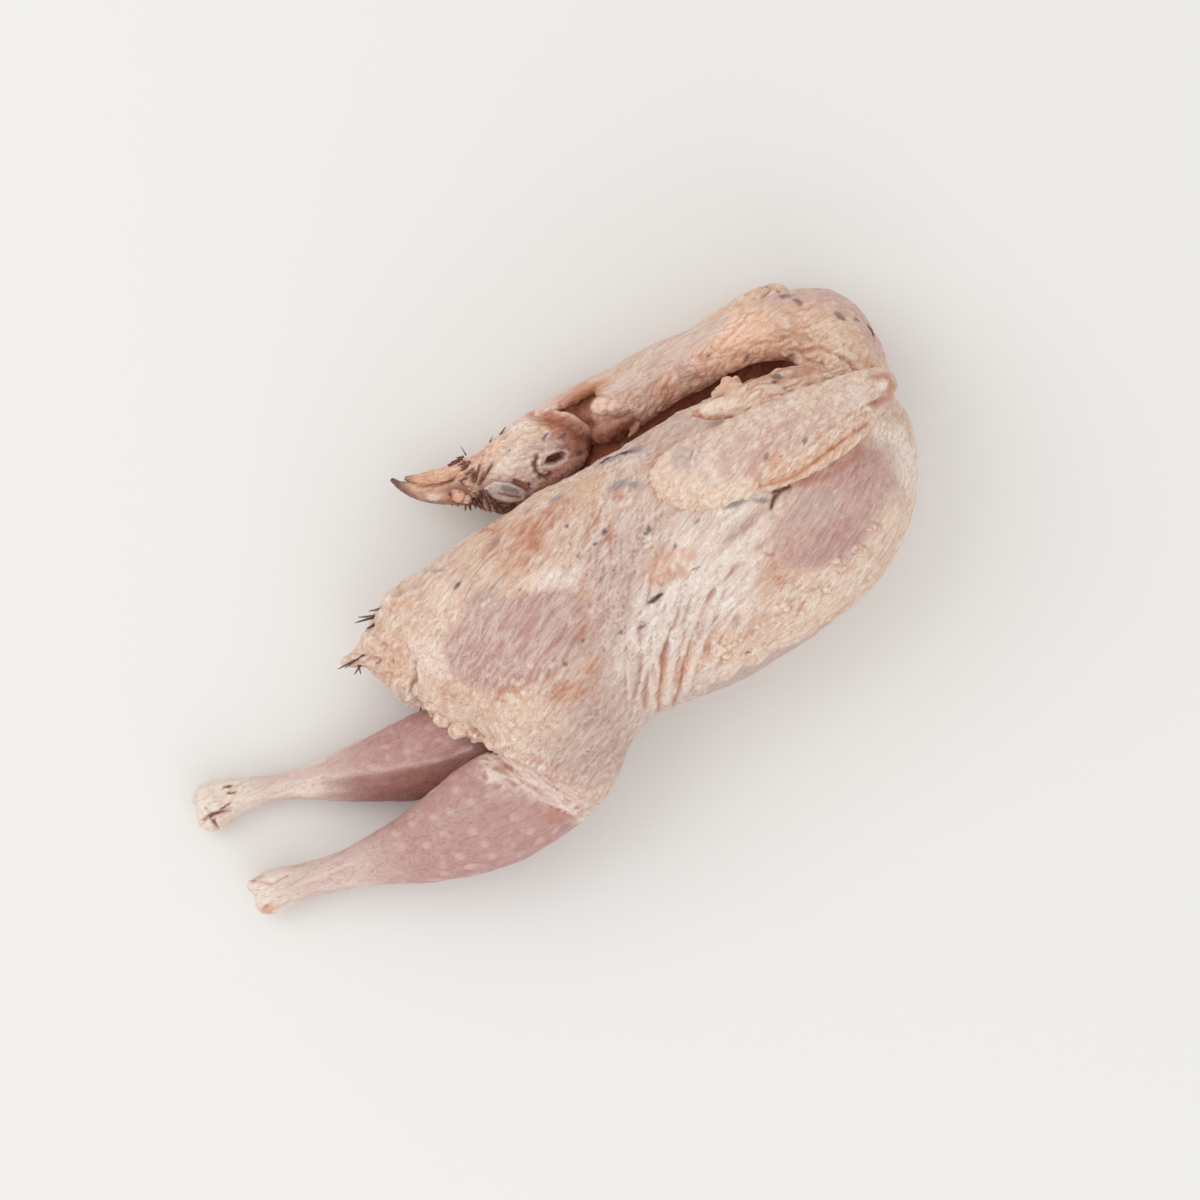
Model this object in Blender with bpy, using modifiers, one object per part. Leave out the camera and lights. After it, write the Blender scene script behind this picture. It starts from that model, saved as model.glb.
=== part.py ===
"""A plucked, undrawn partridge, frozen lying on its left side.

The carcass is one solid. Its neck folds back along the spine, the upper wing lies shut on the
ribs, the under wing is pressed out flat beneath the back, and both legs reach past the tail,
cut off at the hock. Each form is lofted through a few oval sections. The lofts are fused by a
voxel remesh, softened where skin spans them, and cut flat where the bird lay.

Lengths in the tables are millimetres. +X runs from tail to breast, +Y from keel to spine and
+Z from the side it lies on to the side that faces up. "Near" limbs are the upper ones.
"""

import math

import bmesh
import bpy
import numpy as np
from mathutils import Matrix, Vector

MM = 0.001

# How each fused mesh is made: the remesh's grain, and the rounds of softening after it.
BODY_GRAIN = 1.5
BODY_SOFTENING = 24
BIRD_GRAIN = 0.8
BIRD_SOFTENING = 6
# Triangles the last remesh makes, and those that are kept.
FUSED_TRIANGLES = 178000
KEPT_TRIANGLES = 9200
# The tables are read from the middle of the spine. The origin goes under the box's centre.
PLAN_CENTRE = (-1.7, -4.8)
SKIN = (0.66, 0.47, 0.35, 1.0)

# Forms whose sections stand square to X: x, spine side y, keel side y, lowest z, highest z.
TRUNK = [
    (-53.0, 0.3, -1.8, 13.0, 16.0),
    (-50.0, 1.6, -3.6, 10.5, 18.5),
    (-46.0, 4.6, -7.0, 8.5, 21.5),
    (-41.0, 8.2, -14.0, 6.5, 27.0),
    (-35.0, 12.0, -22.0, 4.5, 32.5),
    (-28.0, 13.4, -29.0, 3.0, 37.5),
    (-20.0, 16.2, -33.0, 1.8, 41.5),
    (-10.0, 18.2, -35.5, 0.6, 45.0),
    (0.0, 20.5, -37.0, 0.0, 47.5),
    (12.0, 22.6, -38.0, -0.5, 50.0),
    (25.0, 24.6, -38.0, -0.8, 52.5),
    (40.0, 27.5, -36.8, -1.0, 55.0),
    (52.0, 28.8, -34.2, -1.0, 56.5),
    (64.0, 29.5, -31.0, -1.0, 57.0),
    (74.0, 28.5, -26.7, -0.4, 55.5),
    (82.0, 26.0, -20.7, 2.2, 51.5),
    (88.0, 22.5, -14.0, 6.5, 46.0),
    (92.0, 18.0, -7.5, 12.0, 40.0),
    (94.5, 11.0, 0.5, 20.0, 32.0),
    (95.0, 7.5, 4.0, 24.5, 28.0),
]
SKULL = [
    (23.0, 39.0, 33.0, 7.5, 13.0),
    (21.0, 41.0, 28.5, 4.5, 16.0),
    (18.0, 42.0, 24.8, 2.2, 19.0),
    (13.0, 41.4, 21.5, 1.2, 21.0),
    (7.0, 40.4, 19.3, 0.8, 21.5),
    (1.0, 38.6, 18.8, 1.5, 20.8),
    (-4.0, 36.2, 19.8, 3.2, 18.8),
    (-8.0, 35.4, 22.6, 5.2, 16.4),
    (-11.0, 34.6, 25.2, 6.6, 14.8),
    (-13.0, 33.0, 28.0, 9.0, 12.5),
]

# Limbs and folds of skin: x, y, z of the middle, half width, half height, roll in degrees.
NEAR_THIGH = [
    (7.0, 14.0, 34.0, 9.0, 6.0, 0),
    (4.0, 3.0, 36.0, 17.0, 10.0, 0),
    (-1.0, -10.0, 35.5, 19.5, 12.0, 0),
    (-5.0, -22.0, 33.5, 19.0, 13.0, 0),
    (-8.0, -33.0, 30.0, 17.5, 13.0, 0),
    (-10.5, -42.0, 27.0, 14.0, 12.0, 0),
    (-12.5, -49.0, 24.0, 9.5, 10.0, 0),
    (-13.5, -53.0, 22.5, 4.5, 6.0, 0),
]
# The web of skin from the knee up to the ribs.
FLANK_WEB = [
    (-2.0, -38.0, 24.0, 7.0, 8.0, 0),
    (4.0, -31.0, 30.0, 11.0, 9.0, 0),
    (10.0, -23.0, 35.5, 14.0, 9.0, 0),
    (17.0, -12.0, 39.5, 17.0, 9.0, 0),
    (22.0, 1.0, 41.5, 18.0, 8.0, 0),
    (26.0, 13.0, 41.0, 13.0, 6.0, 0),
]
NEAR_DRUMSTICK = [
    (-2.0, -45.0, 23.5, 2.5, 3.0, 0),
    (-6.0, -45.8, 23.5, 6.3, 6.8, 0),
    (-12.0, -46.3, 23.2, 9.6, 9.4, 0),
    (-20.0, -46.5, 22.6, 12.1, 11.0, 0),
    (-30.0, -46.7, 21.0, 13.5, 11.3, 0),
    (-40.0, -48.0, 18.4, 11.9, 10.4, 0),
    (-50.0, -48.7, 15.4, 9.5, 8.8, 0),
    (-60.0, -48.4, 12.3, 6.6, 6.6, 0),
    (-70.0, -48.2, 9.6, 4.8, 4.9, 0),
    (-80.0, -47.4, 7.2, 4.4, 4.3, 0),
    (-86.0, -46.8, 6.0, 5.1, 5.0, 0),
    (-90.5, -46.8, 5.4, 5.2, 5.0, 0),
    (-92.8, -46.4, 5.2, 3.6, 3.6, 0),
]
FAR_THIGH = [
    (8.0, 2.0, 15.0, 12.0, 8.0, 0),
    (2.0, -9.0, 14.0, 15.5, 10.5, 0),
    (-6.0, -20.0, 12.5, 15.0, 11.0, 0),
    (-13.0, -29.0, 11.0, 11.5, 10.0, 0),
    (-17.0, -35.0, 10.0, 5.0, 6.0, 0),
]
FAR_DRUMSTICK = [
    (-10.0, -30.0, 11.0, 5.0, 6.0, 0),
    (-16.0, -30.0, 10.8, 9.0, 8.5, 0),
    (-26.0, -29.3, 10.5, 10.8, 9.6, 0),
    (-35.0, -28.8, 10.0, 10.9, 9.3, 0),
    (-45.0, -28.5, 9.2, 10.1, 8.6, 0),
    (-55.0, -27.8, 8.2, 8.1, 7.2, 0),
    (-65.0, -26.4, 7.0, 5.7, 5.6, 0),
    (-73.0, -25.0, 6.2, 4.0, 4.3, 0),
    (-80.0, -23.7, 5.6, 3.5, 4.0, 0),
    (-86.0, -22.7, 5.2, 4.1, 4.4, 0),
    (-91.0, -22.2, 5.0, 5.4, 4.9, 0),
    (-95.0, -22.4, 5.0, 5.9, 4.8, 0),
    (-98.0, -22.2, 5.0, 3.6, 3.2, 0),
]
NECK = [
    (76.0, 6.0, 28.0, 9.0, 11.0, 0),
    (82.0, 16.0, 28.0, 11.0, 14.5, 0),
    (84.2, 27.0, 27.5, 10.4, 14.5, 0),
    (81.5, 35.0, 26.5, 10.2, 12.8, 0),
    (73.0, 39.2, 24.5, 7.9, 10.0, 0),
    (62.0, 39.9, 21.5, 6.6, 7.9, 0),
    (50.0, 39.0, 17.5, 7.2, 7.4, 0),
    (40.0, 38.0, 14.5, 7.7, 7.4, 0),
    (32.0, 36.4, 12.6, 7.9, 7.4, 0),
    (27.0, 35.2, 10.5, 6.2, 5.0, 0),
    (18.0, 33.5, 9.5, 5.0, 5.0, 0),
]
# The strip of throat skin left whole along the outer side of the torn nape.
THROAT_STRIP = [
    (10.0, 37.0, 11.5, 2.6, 4.5, 0),
    (17.0, 39.4, 11.8, 2.9, 5.2, 0),
    (25.0, 40.6, 12.0, 2.6, 5.4, 0),
    (34.0, 41.6, 13.0, 2.6, 5.0, 0),
]
UPPER_BEAK = [
    (-7.0, 29.0, 10.8, 5.0, 4.5, 0),
    (-12.0, 28.9, 10.8, 3.7, 3.9, 0),
    (-16.0, 29.7, 10.8, 2.4, 3.2, 0),
    (-20.0, 31.3, 10.8, 2.0, 2.5, 0),
    (-23.0, 33.1, 10.8, 1.7, 1.8, 0),
    (-25.6, 35.2, 10.8, 1.1, 1.1, 0),
    (-27.2, 37.4, 10.8, 0.5, 0.5, 0),
]
LOWER_BEAK = [
    (-7.0, 34.4, 10.8, 1.5, 3.8, 0),
    (-13.0, 33.9, 10.8, 1.7, 3.2, 0),
    (-17.0, 34.3, 10.8, 1.6, 2.6, 0),
    (-21.0, 35.3, 10.8, 1.0, 1.8, 0),
    (-24.0, 36.5, 10.8, 0.4, 0.7, 0),
]
NEAR_FOREARM = [
    (29.6, 13.6, 48.6, 3.0, 2.0, -22),
    (31.5, 13.8, 49.4, 6.0, 3.6, -23),
    (37.0, 13.0, 51.0, 8.2, 5.2, -26),
    (44.0, 12.2, 52.5, 9.6, 6.2, -28),
    (52.0, 12.8, 53.3, 10.8, 6.6, -30),
    (60.0, 14.0, 53.3, 11.3, 6.6, -31),
    (68.0, 15.2, 52.4, 10.8, 6.5, -32),
    (76.0, 15.9, 50.3, 9.4, 6.2, -32),
    (83.0, 16.6, 47.6, 7.2, 5.6, -30),
    (88.0, 17.1, 45.3, 5.3, 5.0, -28),
    (91.5, 17.2, 43.5, 3.2, 3.6, -25),
    (93.0, 17.2, 42.5, 1.0, 1.2, -25),
]
NEAR_HAND = [
    (53.0, 5.4, 58.0, 1.8, 1.2, -15),
    (58.0, 6.2, 58.3, 3.6, 1.9, -15),
    (66.0, 6.8, 58.0, 4.0, 2.2, -16),
    (74.0, 8.2, 56.3, 4.0, 2.3, -20),
    (80.0, 10.2, 53.3, 3.6, 2.3, -25),
    (85.0, 12.6, 49.5, 2.4, 2.0, -28),
]
FAR_WING = [
    (10.0, 8.0, 8.0, 5.0, 4.0, 0),
    (20.0, 16.0, 6.5, 9.0, 5.5, 0),
    (32.0, 24.0, 6.0, 11.0, 5.5, 0),
    (44.0, 31.5, 6.0, 11.0, 5.5, 0),
    (55.0, 37.5, 6.5, 9.5, 5.5, 0),
    (64.5, 42.2, 7.5, 7.2, 5.6, 0),
    (72.0, 45.2, 8.6, 5.6, 5.4, 0),
    (77.2, 47.0, 9.2, 3.6, 3.8, 0),
    (79.2, 47.6, 9.4, 1.0, 1.0, 0),
]
FAR_UPPER_ARM = [
    (60.0, 12.0, 10.0, 9.0, 7.0, 0),
    (64.0, 24.0, 9.0, 10.0, 7.0, 0),
    (67.5, 34.0, 8.5, 9.0, 6.5, 0),
    (70.0, 42.5, 8.5, 5.0, 5.0, 0),
]
TAIL_STUB = [
    (-43.0, 0.8, 15.5, 5.0, 6.0, 0),
    (-47.5, -0.2, 15.0, 3.4, 4.4, 0),
    (-51.0, -0.7, 14.6, 2.0, 2.6, 0),
    (-53.4, -0.9, 14.4, 0.8, 1.0, 0),
]
# The fleshy lobe beside the vent.
VENT_LOBE = [
    (-35.0, -6.5, 19.0, 5.0, 7.0, 0),
    (-38.6, -10.0, 19.0, 5.0, 8.0, 0),
    (-39.8, -13.2, 18.5, 3.8, 6.5, 0),
    (-39.6, -16.4, 18.0, 1.4, 3.0, 0),
]
BODY_LIMBS = (NEAR_THIGH, FLANK_WEB, FAR_THIGH)
LIMBS = (
    NEAR_DRUMSTICK, FAR_DRUMSTICK, NECK, THROAT_STRIP, UPPER_BEAK, LOWER_BEAK,
    NEAR_FOREARM, NEAR_HAND, FAR_WING, FAR_UPPER_ARM, TAIL_STUB, VENT_LOBE,
)

# Small swellings: x, y, z, half length, half width, half height, turn about Z in degrees.
SWELLINGS = [
    (0.0, 25.0, 18.6, 5.4, 3.1, 2.6, -4),       # closed eye, upper side
    (0.0, 25.0, 3.8, 5.4, 3.1, 2.4, -4),        # closed eye, side it lies on
    (-12.5, 27.0, 13.6, 2.6, 1.5, 1.5, -35),    # flap over the nostril
    (27.5, 36.0, 13.5, 3.2, 3.0, 3.0, 0),       # end of the torn neck muscle
    (25.6, 30.6, 11.5, 3.4, 3.0, 3.2, 0),
    (90.2, 17.2, 45.0, 3.2, 2.6, 2.6, 0),       # wrist of the upper wing
    (-90.5, -44.4, 7.0, 3.4, 2.6, 3.0, 0),      # condyles of the cut hocks
    (-90.2, -49.6, 6.0, 3.2, 2.6, 3.2, 0),
    (-94.2, -19.6, 6.2, 3.4, 2.6, 3.0, 0),
    (-94.8, -25.4, 5.4, 3.4, 2.6, 3.2, 0),
]


def smooth_rows(rows, steps):
    """Catmull-Rom curve through the rows, with this many steps to a span."""
    rows = np.array(rows, float)
    ends = np.vstack([2 * rows[0] - rows[1], rows, 2 * rows[-1] - rows[-2]])
    t = np.arange(steps)[:, None] / steps
    spans = [
        0.5 * (2 * b + (c - a) * t + (2 * a - 5 * b + 4 * c - d) * t**2 + (3 * b - a - 3 * c + d) * t**3)
        for a, b, c, d in zip(ends, ends[1:], ends[2:], ends[3:])
    ]
    return np.vstack([*spans, rows[-1:]])


def square_sections(rows, steps=6):
    """Middle, width axis and height axis of sections that stand square to X."""
    x, back, belly, low, high = smooth_rows(rows, steps).T
    zero = np.zeros_like(x)
    middle = np.stack([x, (back + belly) / 2, (low + high) / 2], axis=1)
    width = np.stack([zero, (back - belly) / 2, zero], axis=1)
    height = np.stack([zero, zero, (high - low) / 2], axis=1)
    return middle, width, height


def limb_sections(rows, steps=6):
    """The same for sections that stand square to the limb's own path, sized and rolled."""
    dense = smooth_rows(rows, steps)
    middle = dense[:, :3]
    half = np.maximum(dense[:, 3:5], 0.3)
    roll = np.radians(dense[:, 5])[:, None]
    along = np.gradient(middle, axis=0)
    along /= np.linalg.norm(along, axis=1)[:, None]
    across = np.cross((0.0, 0.0, 1.0), along)
    across /= np.linalg.norm(across, axis=1)[:, None]
    rise = np.cross(along, across)
    width = across * np.cos(roll) + rise * np.sin(roll)
    height = rise * np.cos(roll) - across * np.sin(roll)
    return middle, width * half[:, :1], height * half[:, 1:]


def loft(mesh, sections, around=40, keel=0.0):
    """Adds a closed loft to the bmesh. keel narrows its sections towards the keel side."""
    middle, width, height = sections
    turn = np.arange(around) * 2 * math.pi / around
    c, s = np.cos(turn)[None, :, None], np.sin(turn)[None, :, None]
    points = middle[:, None] + width[:, None] * c + height[:, None] * s * (1 + keel * c)
    rings = [[mesh.verts.new(Vector(p)) for p in ring] for ring in points]
    for low, high in zip(rings, rings[1:]):
        for i in range(around):
            j = (i + 1) % around
            mesh.faces.new((low[i], low[j], high[j], high[i]))
    mesh.faces.new(rings[0])
    mesh.faces.new(rings[-1])


def swelling(mesh, x, y, z, length, width, height, turn):
    """Adds a closed ellipsoid to the bmesh."""
    place = Matrix.Translation((x, y, z)) @ Matrix.Rotation(math.radians(turn), 4, "Z")
    size = Matrix.Diagonal((length, width, height, 1.0))
    bmesh.ops.create_uvsphere(mesh, u_segments=20, v_segments=12, radius=1.0, matrix=place @ size)


def mesh_of(shells):
    """Turns a bmesh of closed shells into a mesh with its faces turned outwards."""
    bmesh.ops.recalc_face_normals(shells, faces=shells.faces)
    data = bpy.data.meshes.new("shells")
    shells.to_mesh(data)
    shells.free()
    return data


def fuse(thing, grain, softening):
    """Fuses an object's overlapping shells into one skin and softens the creases."""
    remesh = thing.modifiers.new("fuse", "REMESH")
    remesh.mode = "VOXEL"
    remesh.voxel_size = grain
    soften = thing.modifiers.new("soften", "SMOOTH")
    soften.factor = 0.5
    soften.iterations = softening


def body_mesh():
    """Trunk and thighs under one stretched skin."""
    shells = bmesh.new()
    loft(shells, square_sections(TRUNK), around=72, keel=0.14)
    for rows in BODY_LIMBS:
        loft(shells, limb_sections(rows))
    body = bpy.data.objects.new("body", mesh_of(shells))
    bpy.context.scene.collection.objects.link(body)
    fuse(body, BODY_GRAIN, BODY_SOFTENING)
    evaluated = body.evaluated_get(bpy.context.evaluated_depsgraph_get())
    skin = bpy.data.meshes.new_from_object(evaluated)
    bpy.data.objects.remove(body, do_unlink=True)
    return skin


def bird_mesh():
    """All the forms of the bird as overlapping closed shells, in metres about the origin."""
    shells = bmesh.new()
    shells.from_mesh(body_mesh())
    loft(shells, square_sections(SKULL), around=48, keel=0.06)
    for rows in LIMBS:
        loft(shells, limb_sections(rows))
    for row in SWELLINGS:
        swelling(shells, *row)
    x, y = PLAN_CENTRE
    shells.transform(Matrix.Scale(MM, 4) @ Matrix.Translation((-x, -y, 0.0)))
    return mesh_of(shells)


def finish(bird, cutter):
    """Thins the fused mesh and cuts the side it lies on flat."""
    thin = bird.modifiers.new("thin", "DECIMATE")
    thin.ratio = KEPT_TRIANGLES / FUSED_TRIANGLES
    rest = bird.modifiers.new("rest", "BOOLEAN")
    rest.operation = "DIFFERENCE"
    rest.object = cutter


def collection(name):
    """A new collection under the scene."""
    made = bpy.data.collections.new(name)
    bpy.context.scene.collection.children.link(made)
    return made


def floor_cutter():
    """A block under the plane that the bird lies on."""
    mesh = bmesh.new()
    bmesh.ops.create_cube(mesh, size=1.0, matrix=Matrix.Diagonal((0.3, 0.3, 0.02, 1.0)))
    data = bpy.data.meshes.new("floor_cutter")
    mesh.to_mesh(data)
    mesh.free()
    cutter = bpy.data.objects.new("floor_cutter", data)
    cutter.location = (0.0, 0.0, -0.01)
    cutter.hide_render = True
    cutter.display_type = "WIRE"
    return cutter


def skin_material():
    """Pale, slightly waxy frozen skin."""
    skin = bpy.data.materials.new("skin")
    skin.use_nodes = True
    shader = skin.node_tree.nodes["Principled BSDF"]
    shader.inputs["Base Color"].default_value = SKIN
    shader.inputs["Roughness"].default_value = 0.45
    skin.diffuse_color = SKIN
    return skin


def main():
    for old in list(bpy.data.objects):
        bpy.data.objects.remove(old, do_unlink=True)
    bird = bpy.data.objects.new("partridge", bird_mesh())
    bird.data.materials.append(skin_material())
    cutter = floor_cutter()
    collection("frozen partridge").objects.link(bird)
    collection("cutters").objects.link(cutter)
    fuse(bird, BIRD_GRAIN * MM, BIRD_SOFTENING)
    finish(bird, cutter)


main()
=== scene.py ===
"""The frozen partridge's looks: skin, folds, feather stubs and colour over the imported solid.

Every piece is lofted from the same tables as the solid, fused at a finer grain, and then worked
over point by point: folds and creases along named paths, wrinkles and follicles from noise, and
paint mixed from the same paths and zones. Working lengths are millimetres in the solid's plan
tables, where +X runs from tail to breast and +Y from keel to spine.
"""

import math

import bmesh
import bpy
import numpy as np
from mathutils import Matrix, Vector


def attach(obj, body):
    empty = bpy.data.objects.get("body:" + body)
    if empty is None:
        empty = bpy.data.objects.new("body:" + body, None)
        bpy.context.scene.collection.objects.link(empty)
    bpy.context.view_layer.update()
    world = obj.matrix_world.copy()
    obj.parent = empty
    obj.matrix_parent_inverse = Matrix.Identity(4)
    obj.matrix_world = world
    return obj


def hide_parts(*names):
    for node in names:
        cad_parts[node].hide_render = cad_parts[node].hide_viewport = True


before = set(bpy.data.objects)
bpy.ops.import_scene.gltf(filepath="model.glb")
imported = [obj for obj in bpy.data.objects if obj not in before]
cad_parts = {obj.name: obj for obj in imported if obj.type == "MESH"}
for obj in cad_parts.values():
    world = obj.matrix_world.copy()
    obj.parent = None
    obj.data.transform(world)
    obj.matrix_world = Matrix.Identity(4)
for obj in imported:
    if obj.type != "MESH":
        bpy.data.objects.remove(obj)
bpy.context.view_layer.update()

MM = 0.001
PLAN_CENTRE = (-1.7, -4.8)

# ------------------------------------------------------------------ forms, as in the solid
# Forms whose sections stand square to X: x, spine side y, keel side y, lowest z, highest z.
TRUNK = [
    (-53, 0.3, -1.8, 13, 16), (-50, 1.6, -3.6, 10.5, 18.5), (-46, 4.6, -7, 8.5, 21.5),
    (-41, 8.2, -14, 6.5, 27), (-35, 12, -22, 4.5, 32.5), (-28, 13.4, -29, 3, 37.5),
    (-20, 16.2, -33, 1.8, 41.5), (-10, 18.2, -35.5, 0.6, 45), (0, 20.5, -37, 0, 47.5),
    (12, 22.6, -38, -0.5, 50), (25, 24.6, -38, -0.8, 52.5), (40, 27.5, -36.8, -1, 55),
    (52, 28.8, -34.2, -1, 56.5), (64, 29.5, -31, -1, 57), (74, 28.5, -26.7, -0.4, 55.5),
    (82, 26, -20.7, 2.2, 51.5), (88, 22.5, -14, 6.5, 46), (92, 18, -7.5, 12, 40), (94.5, 11, 0.5, 20, 32),
    (95, 7.5, 4, 24.5, 28),
]
SKULL = [
    (23, 39, 33, 7.5, 13), (21, 41, 28.5, 4.5, 16), (18, 42, 24.8, 2.2, 19), (13, 41.4, 21.5, 1.2, 21),
    (7, 40.4, 19.3, 0.8, 21.5), (1, 38.6, 18.8, 1.5, 20.8), (-4, 36.2, 19.8, 3.2, 18.8),
    (-8, 35.4, 22.6, 5.2, 16.4), (-11, 34.6, 25.2, 6.6, 14.8), (-13, 33, 28, 9, 12.5),
]
# Limbs and folds of skin: x, y, z of the middle, half width, half height, and any roll in degrees.
NEAR_THIGH = [
    (7, 14, 34, 9, 6), (4, 3, 36, 17, 10), (-1, -10, 35.5, 19.5, 12), (-5, -22, 33.5, 19, 13),
    (-8, -33, 30, 17.5, 13), (-10.5, -42, 27, 14, 12), (-12.5, -49, 24, 9.5, 10),
    (-13.5, -53, 22.5, 4.5, 6),
]
FLANK_WEB = [
    (-2, -38, 24, 7, 8), (4, -31, 30, 11, 9), (10, -23, 35.5, 14, 9), (17, -12, 39.5, 17, 9),
    (22, 1, 41.5, 18, 8), (26, 13, 41, 13, 6),
]
NEAR_DRUMSTICK = [
    (-2, -45, 23.5, 2.5, 3), (-6, -45.8, 23.5, 6.3, 6.8), (-12, -46.3, 23.2, 9.6, 9.4),
    (-20, -46.5, 22.6, 12.1, 11), (-30, -46.7, 21, 13.5, 11.3), (-40, -48, 18.4, 11.9, 10.4),
    (-50, -48.7, 15.4, 9.5, 8.8), (-60, -48.4, 12.3, 6.6, 6.6), (-70, -48.2, 9.6, 4.8, 4.9),
    (-80, -47.4, 7.2, 4.4, 4.3), (-86, -46.8, 6, 5.1, 5), (-90.5, -46.8, 5.4, 5.2, 5),
    (-92.8, -46.4, 5.2, 3.6, 3.6),
]
FAR_THIGH = [
    (8, 2, 15, 12, 8), (2, -9, 14, 15.5, 10.5), (-6, -20, 12.5, 15, 11), (-13, -29, 11, 11.5, 10),
    (-17, -35, 10, 5, 6),
]
FAR_DRUMSTICK = [
    (-10, -30, 11, 5, 6), (-16, -30, 10.8, 9, 8.5), (-26, -29.3, 10.5, 10.8, 9.6),
    (-35, -28.8, 10, 10.9, 9.3), (-45, -28.5, 9.2, 10.1, 8.6), (-55, -27.8, 8.2, 8.1, 7.2),
    (-65, -26.4, 7, 5.7, 5.6), (-73, -25, 6.2, 4, 4.3), (-80, -23.7, 5.6, 3.5, 4),
    (-87, -22.6, 5.2, 4.1, 4.4), (-92.4, -22.2, 5, 5.6, 4.9), (-96.8, -22.4, 5, 6, 4.8),
    (-99.8, -22.2, 5, 3.8, 3.2),
]
NECK = [
    (76, 6, 28, 9, 11), (82, 16, 28, 11, 14.5), (84.2, 27, 27.5, 10.4, 14.5), (81.5, 35, 26.5, 10.2, 12.8),
    (73, 39.2, 24.5, 7.9, 10), (62, 39.9, 21.5, 6.6, 7.9), (50, 39, 17.5, 7.2, 7.4),
    (40, 38, 14.5, 7.7, 7.4), (32, 36.4, 12.6, 7.9, 7.4), (27, 35.2, 10.5, 6.2, 5), (18, 33.5, 9.5, 5, 5),
]
THROAT_STRIP = [
    (9, 38, 11.5, 2.2, 4.5), (17, 40.5, 12, 2.1, 5.2), (25, 41.8, 12.4, 1.9, 5.4), (34, 42.2, 13.4, 2.4, 5),
]
UPPER_BEAK = [
    (-7, 29, 10.8, 5, 4.5), (-12, 28.9, 10.8, 3.8, 3.9), (-16, 29.6, 10.8, 2.8, 3.2),
    (-20, 31.1, 10.8, 2.35, 2.5), (-23, 33, 10.8, 1.9, 1.8), (-25.6, 35.2, 10.8, 1.1, 1.1),
    (-27.2, 37.4, 10.8, 0.5, 0.5),
]
LOWER_BEAK = [
    (-7, 34.4, 10.8, 1.5, 3.8), (-13, 33.5, 10.8, 2.1, 3.2), (-17, 33.9, 10.8, 2.1, 2.6),
    (-21, 34.9, 10.8, 1.5, 1.8), (-24, 36.4, 10.8, 0.6, 0.8),
]
NEAR_FOREARM = [
    (31.8, 12.6, 48.6, 2.8, 2, -22), (33.6, 12.8, 49.4, 5.4, 3.6, -23), (38, 12.8, 51, 8, 5.2, -26),
    (44, 12.2, 52.5, 9.6, 6.2, -28), (52, 12.2, 53.3, 10.1, 6.6, -30), (60, 13.2, 53.3, 10.4, 6.6, -31),
    (68, 14.3, 52.4, 9.8, 6.5, -32), (76, 15.2, 50.3, 8.6, 6.2, -32), (83, 16.2, 47.6, 6.8, 5.6, -30),
    (88, 17.1, 45.3, 5.3, 5, -28), (91.5, 17.2, 43.5, 3.2, 3.6, -25), (93, 17.2, 42.5, 1, 1.2, -25),
]
NEAR_HAND = [
    (53, 5.4, 58, 1.8, 1.2, -15), (58, 6.2, 58.3, 3.6, 1.9, -15), (66, 6.8, 58, 4, 2.2, -16),
    (74, 8.2, 56.3, 4, 2.3, -20), (80, 10.2, 53.3, 3.6, 2.3, -25), (85, 12.6, 49.5, 2.4, 2, -28),
]
FAR_WING = [
    (10, 8, 8, 5, 4), (20, 16, 6.5, 9, 5.5), (32, 24, 6, 11, 5.5), (44, 31.5, 6, 11, 5.5),
    (55, 37.5, 6.5, 9.5, 5.5), (64.5, 42.2, 7.5, 7.2, 5.6), (72, 45.2, 8.6, 5.6, 5.4),
    (77.2, 47, 9.2, 3.6, 3.8), (79.2, 47.6, 9.4, 1, 1),
]
FAR_UPPER_ARM = [
    (60, 12, 10, 9, 7), (64, 24, 9, 10, 7), (67.5, 34, 8.5, 9, 6.5), (70, 42.5, 8.5, 5, 5),
]
TAIL_STUB = [
    (-43, 0.8, 15.5, 5, 6), (-47.5, -0.2, 15, 3.4, 4.4), (-51, -0.7, 14.6, 2, 2.6),
    (-53.4, -0.9, 14.4, 0.8, 1),
]
VENT_LOBE = [
    (-35, -6.5, 19, 5, 7), (-38.6, -10, 19, 5, 8), (-39.8, -13.2, 18.5, 3.8, 6.5),
    (-39.6, -16.4, 18, 1.4, 3),
]


# ------------------------------------------------------------------ noise and falloffs
def ease(low, high, value):
    """0 below low, 1 above high, smooth between."""
    t = np.clip((value - low) / (high - low), 0.0, 1.0)
    return t * t * (3 - 2 * t)


CELL_FACTORS = (374761393, 668265263, 2147483647)
SEED_FACTOR = 974634777
MIX_FACTORS = (1274126177, 2246822519)
WORD = 0xFFFFFFFF


def scramble(cell, seed):
    """One pseudo-random 32-bit number per whole-number cell."""
    h = cell @ np.array(CELL_FACTORS) + seed * SEED_FACTOR
    h = (h ^ (h >> 13)) * MIX_FACTORS[0] & WORD
    return (h ^ (h >> 16)) * MIX_FACTORS[1] & WORD


def noise(points, size, seed=0):
    """Gradient noise, about -1 to 1. size is its grain, or its grain along each axis."""
    p = points / np.asarray(size, float)
    cell = np.floor(p).astype(np.int64)
    f = p - cell
    u = f * f * f * (f * (f * 6 - 15) + 10)
    total = np.zeros(len(p))
    for corner in np.ndindex(2, 2, 2):
        h = scramble(cell + np.array(corner), seed)
        lean = np.stack([(h & 255) - 127.5, (h >> 8 & 255) - 127.5, (h >> 16 & 255) - 127.5], axis=1)
        part = np.einsum("ij,ij->i", lean, f - corner) / 127.5
        total += part * np.prod(np.where(corner, u, 1 - u), axis=1)
    return total * 1.3


def layers(points, size, count=3, seed=0):
    """Noise at halving grains and halving strengths."""
    return sum(noise(points, np.asarray(size) / 2**k, seed + k) / 2**k for k in range(count))


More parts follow.
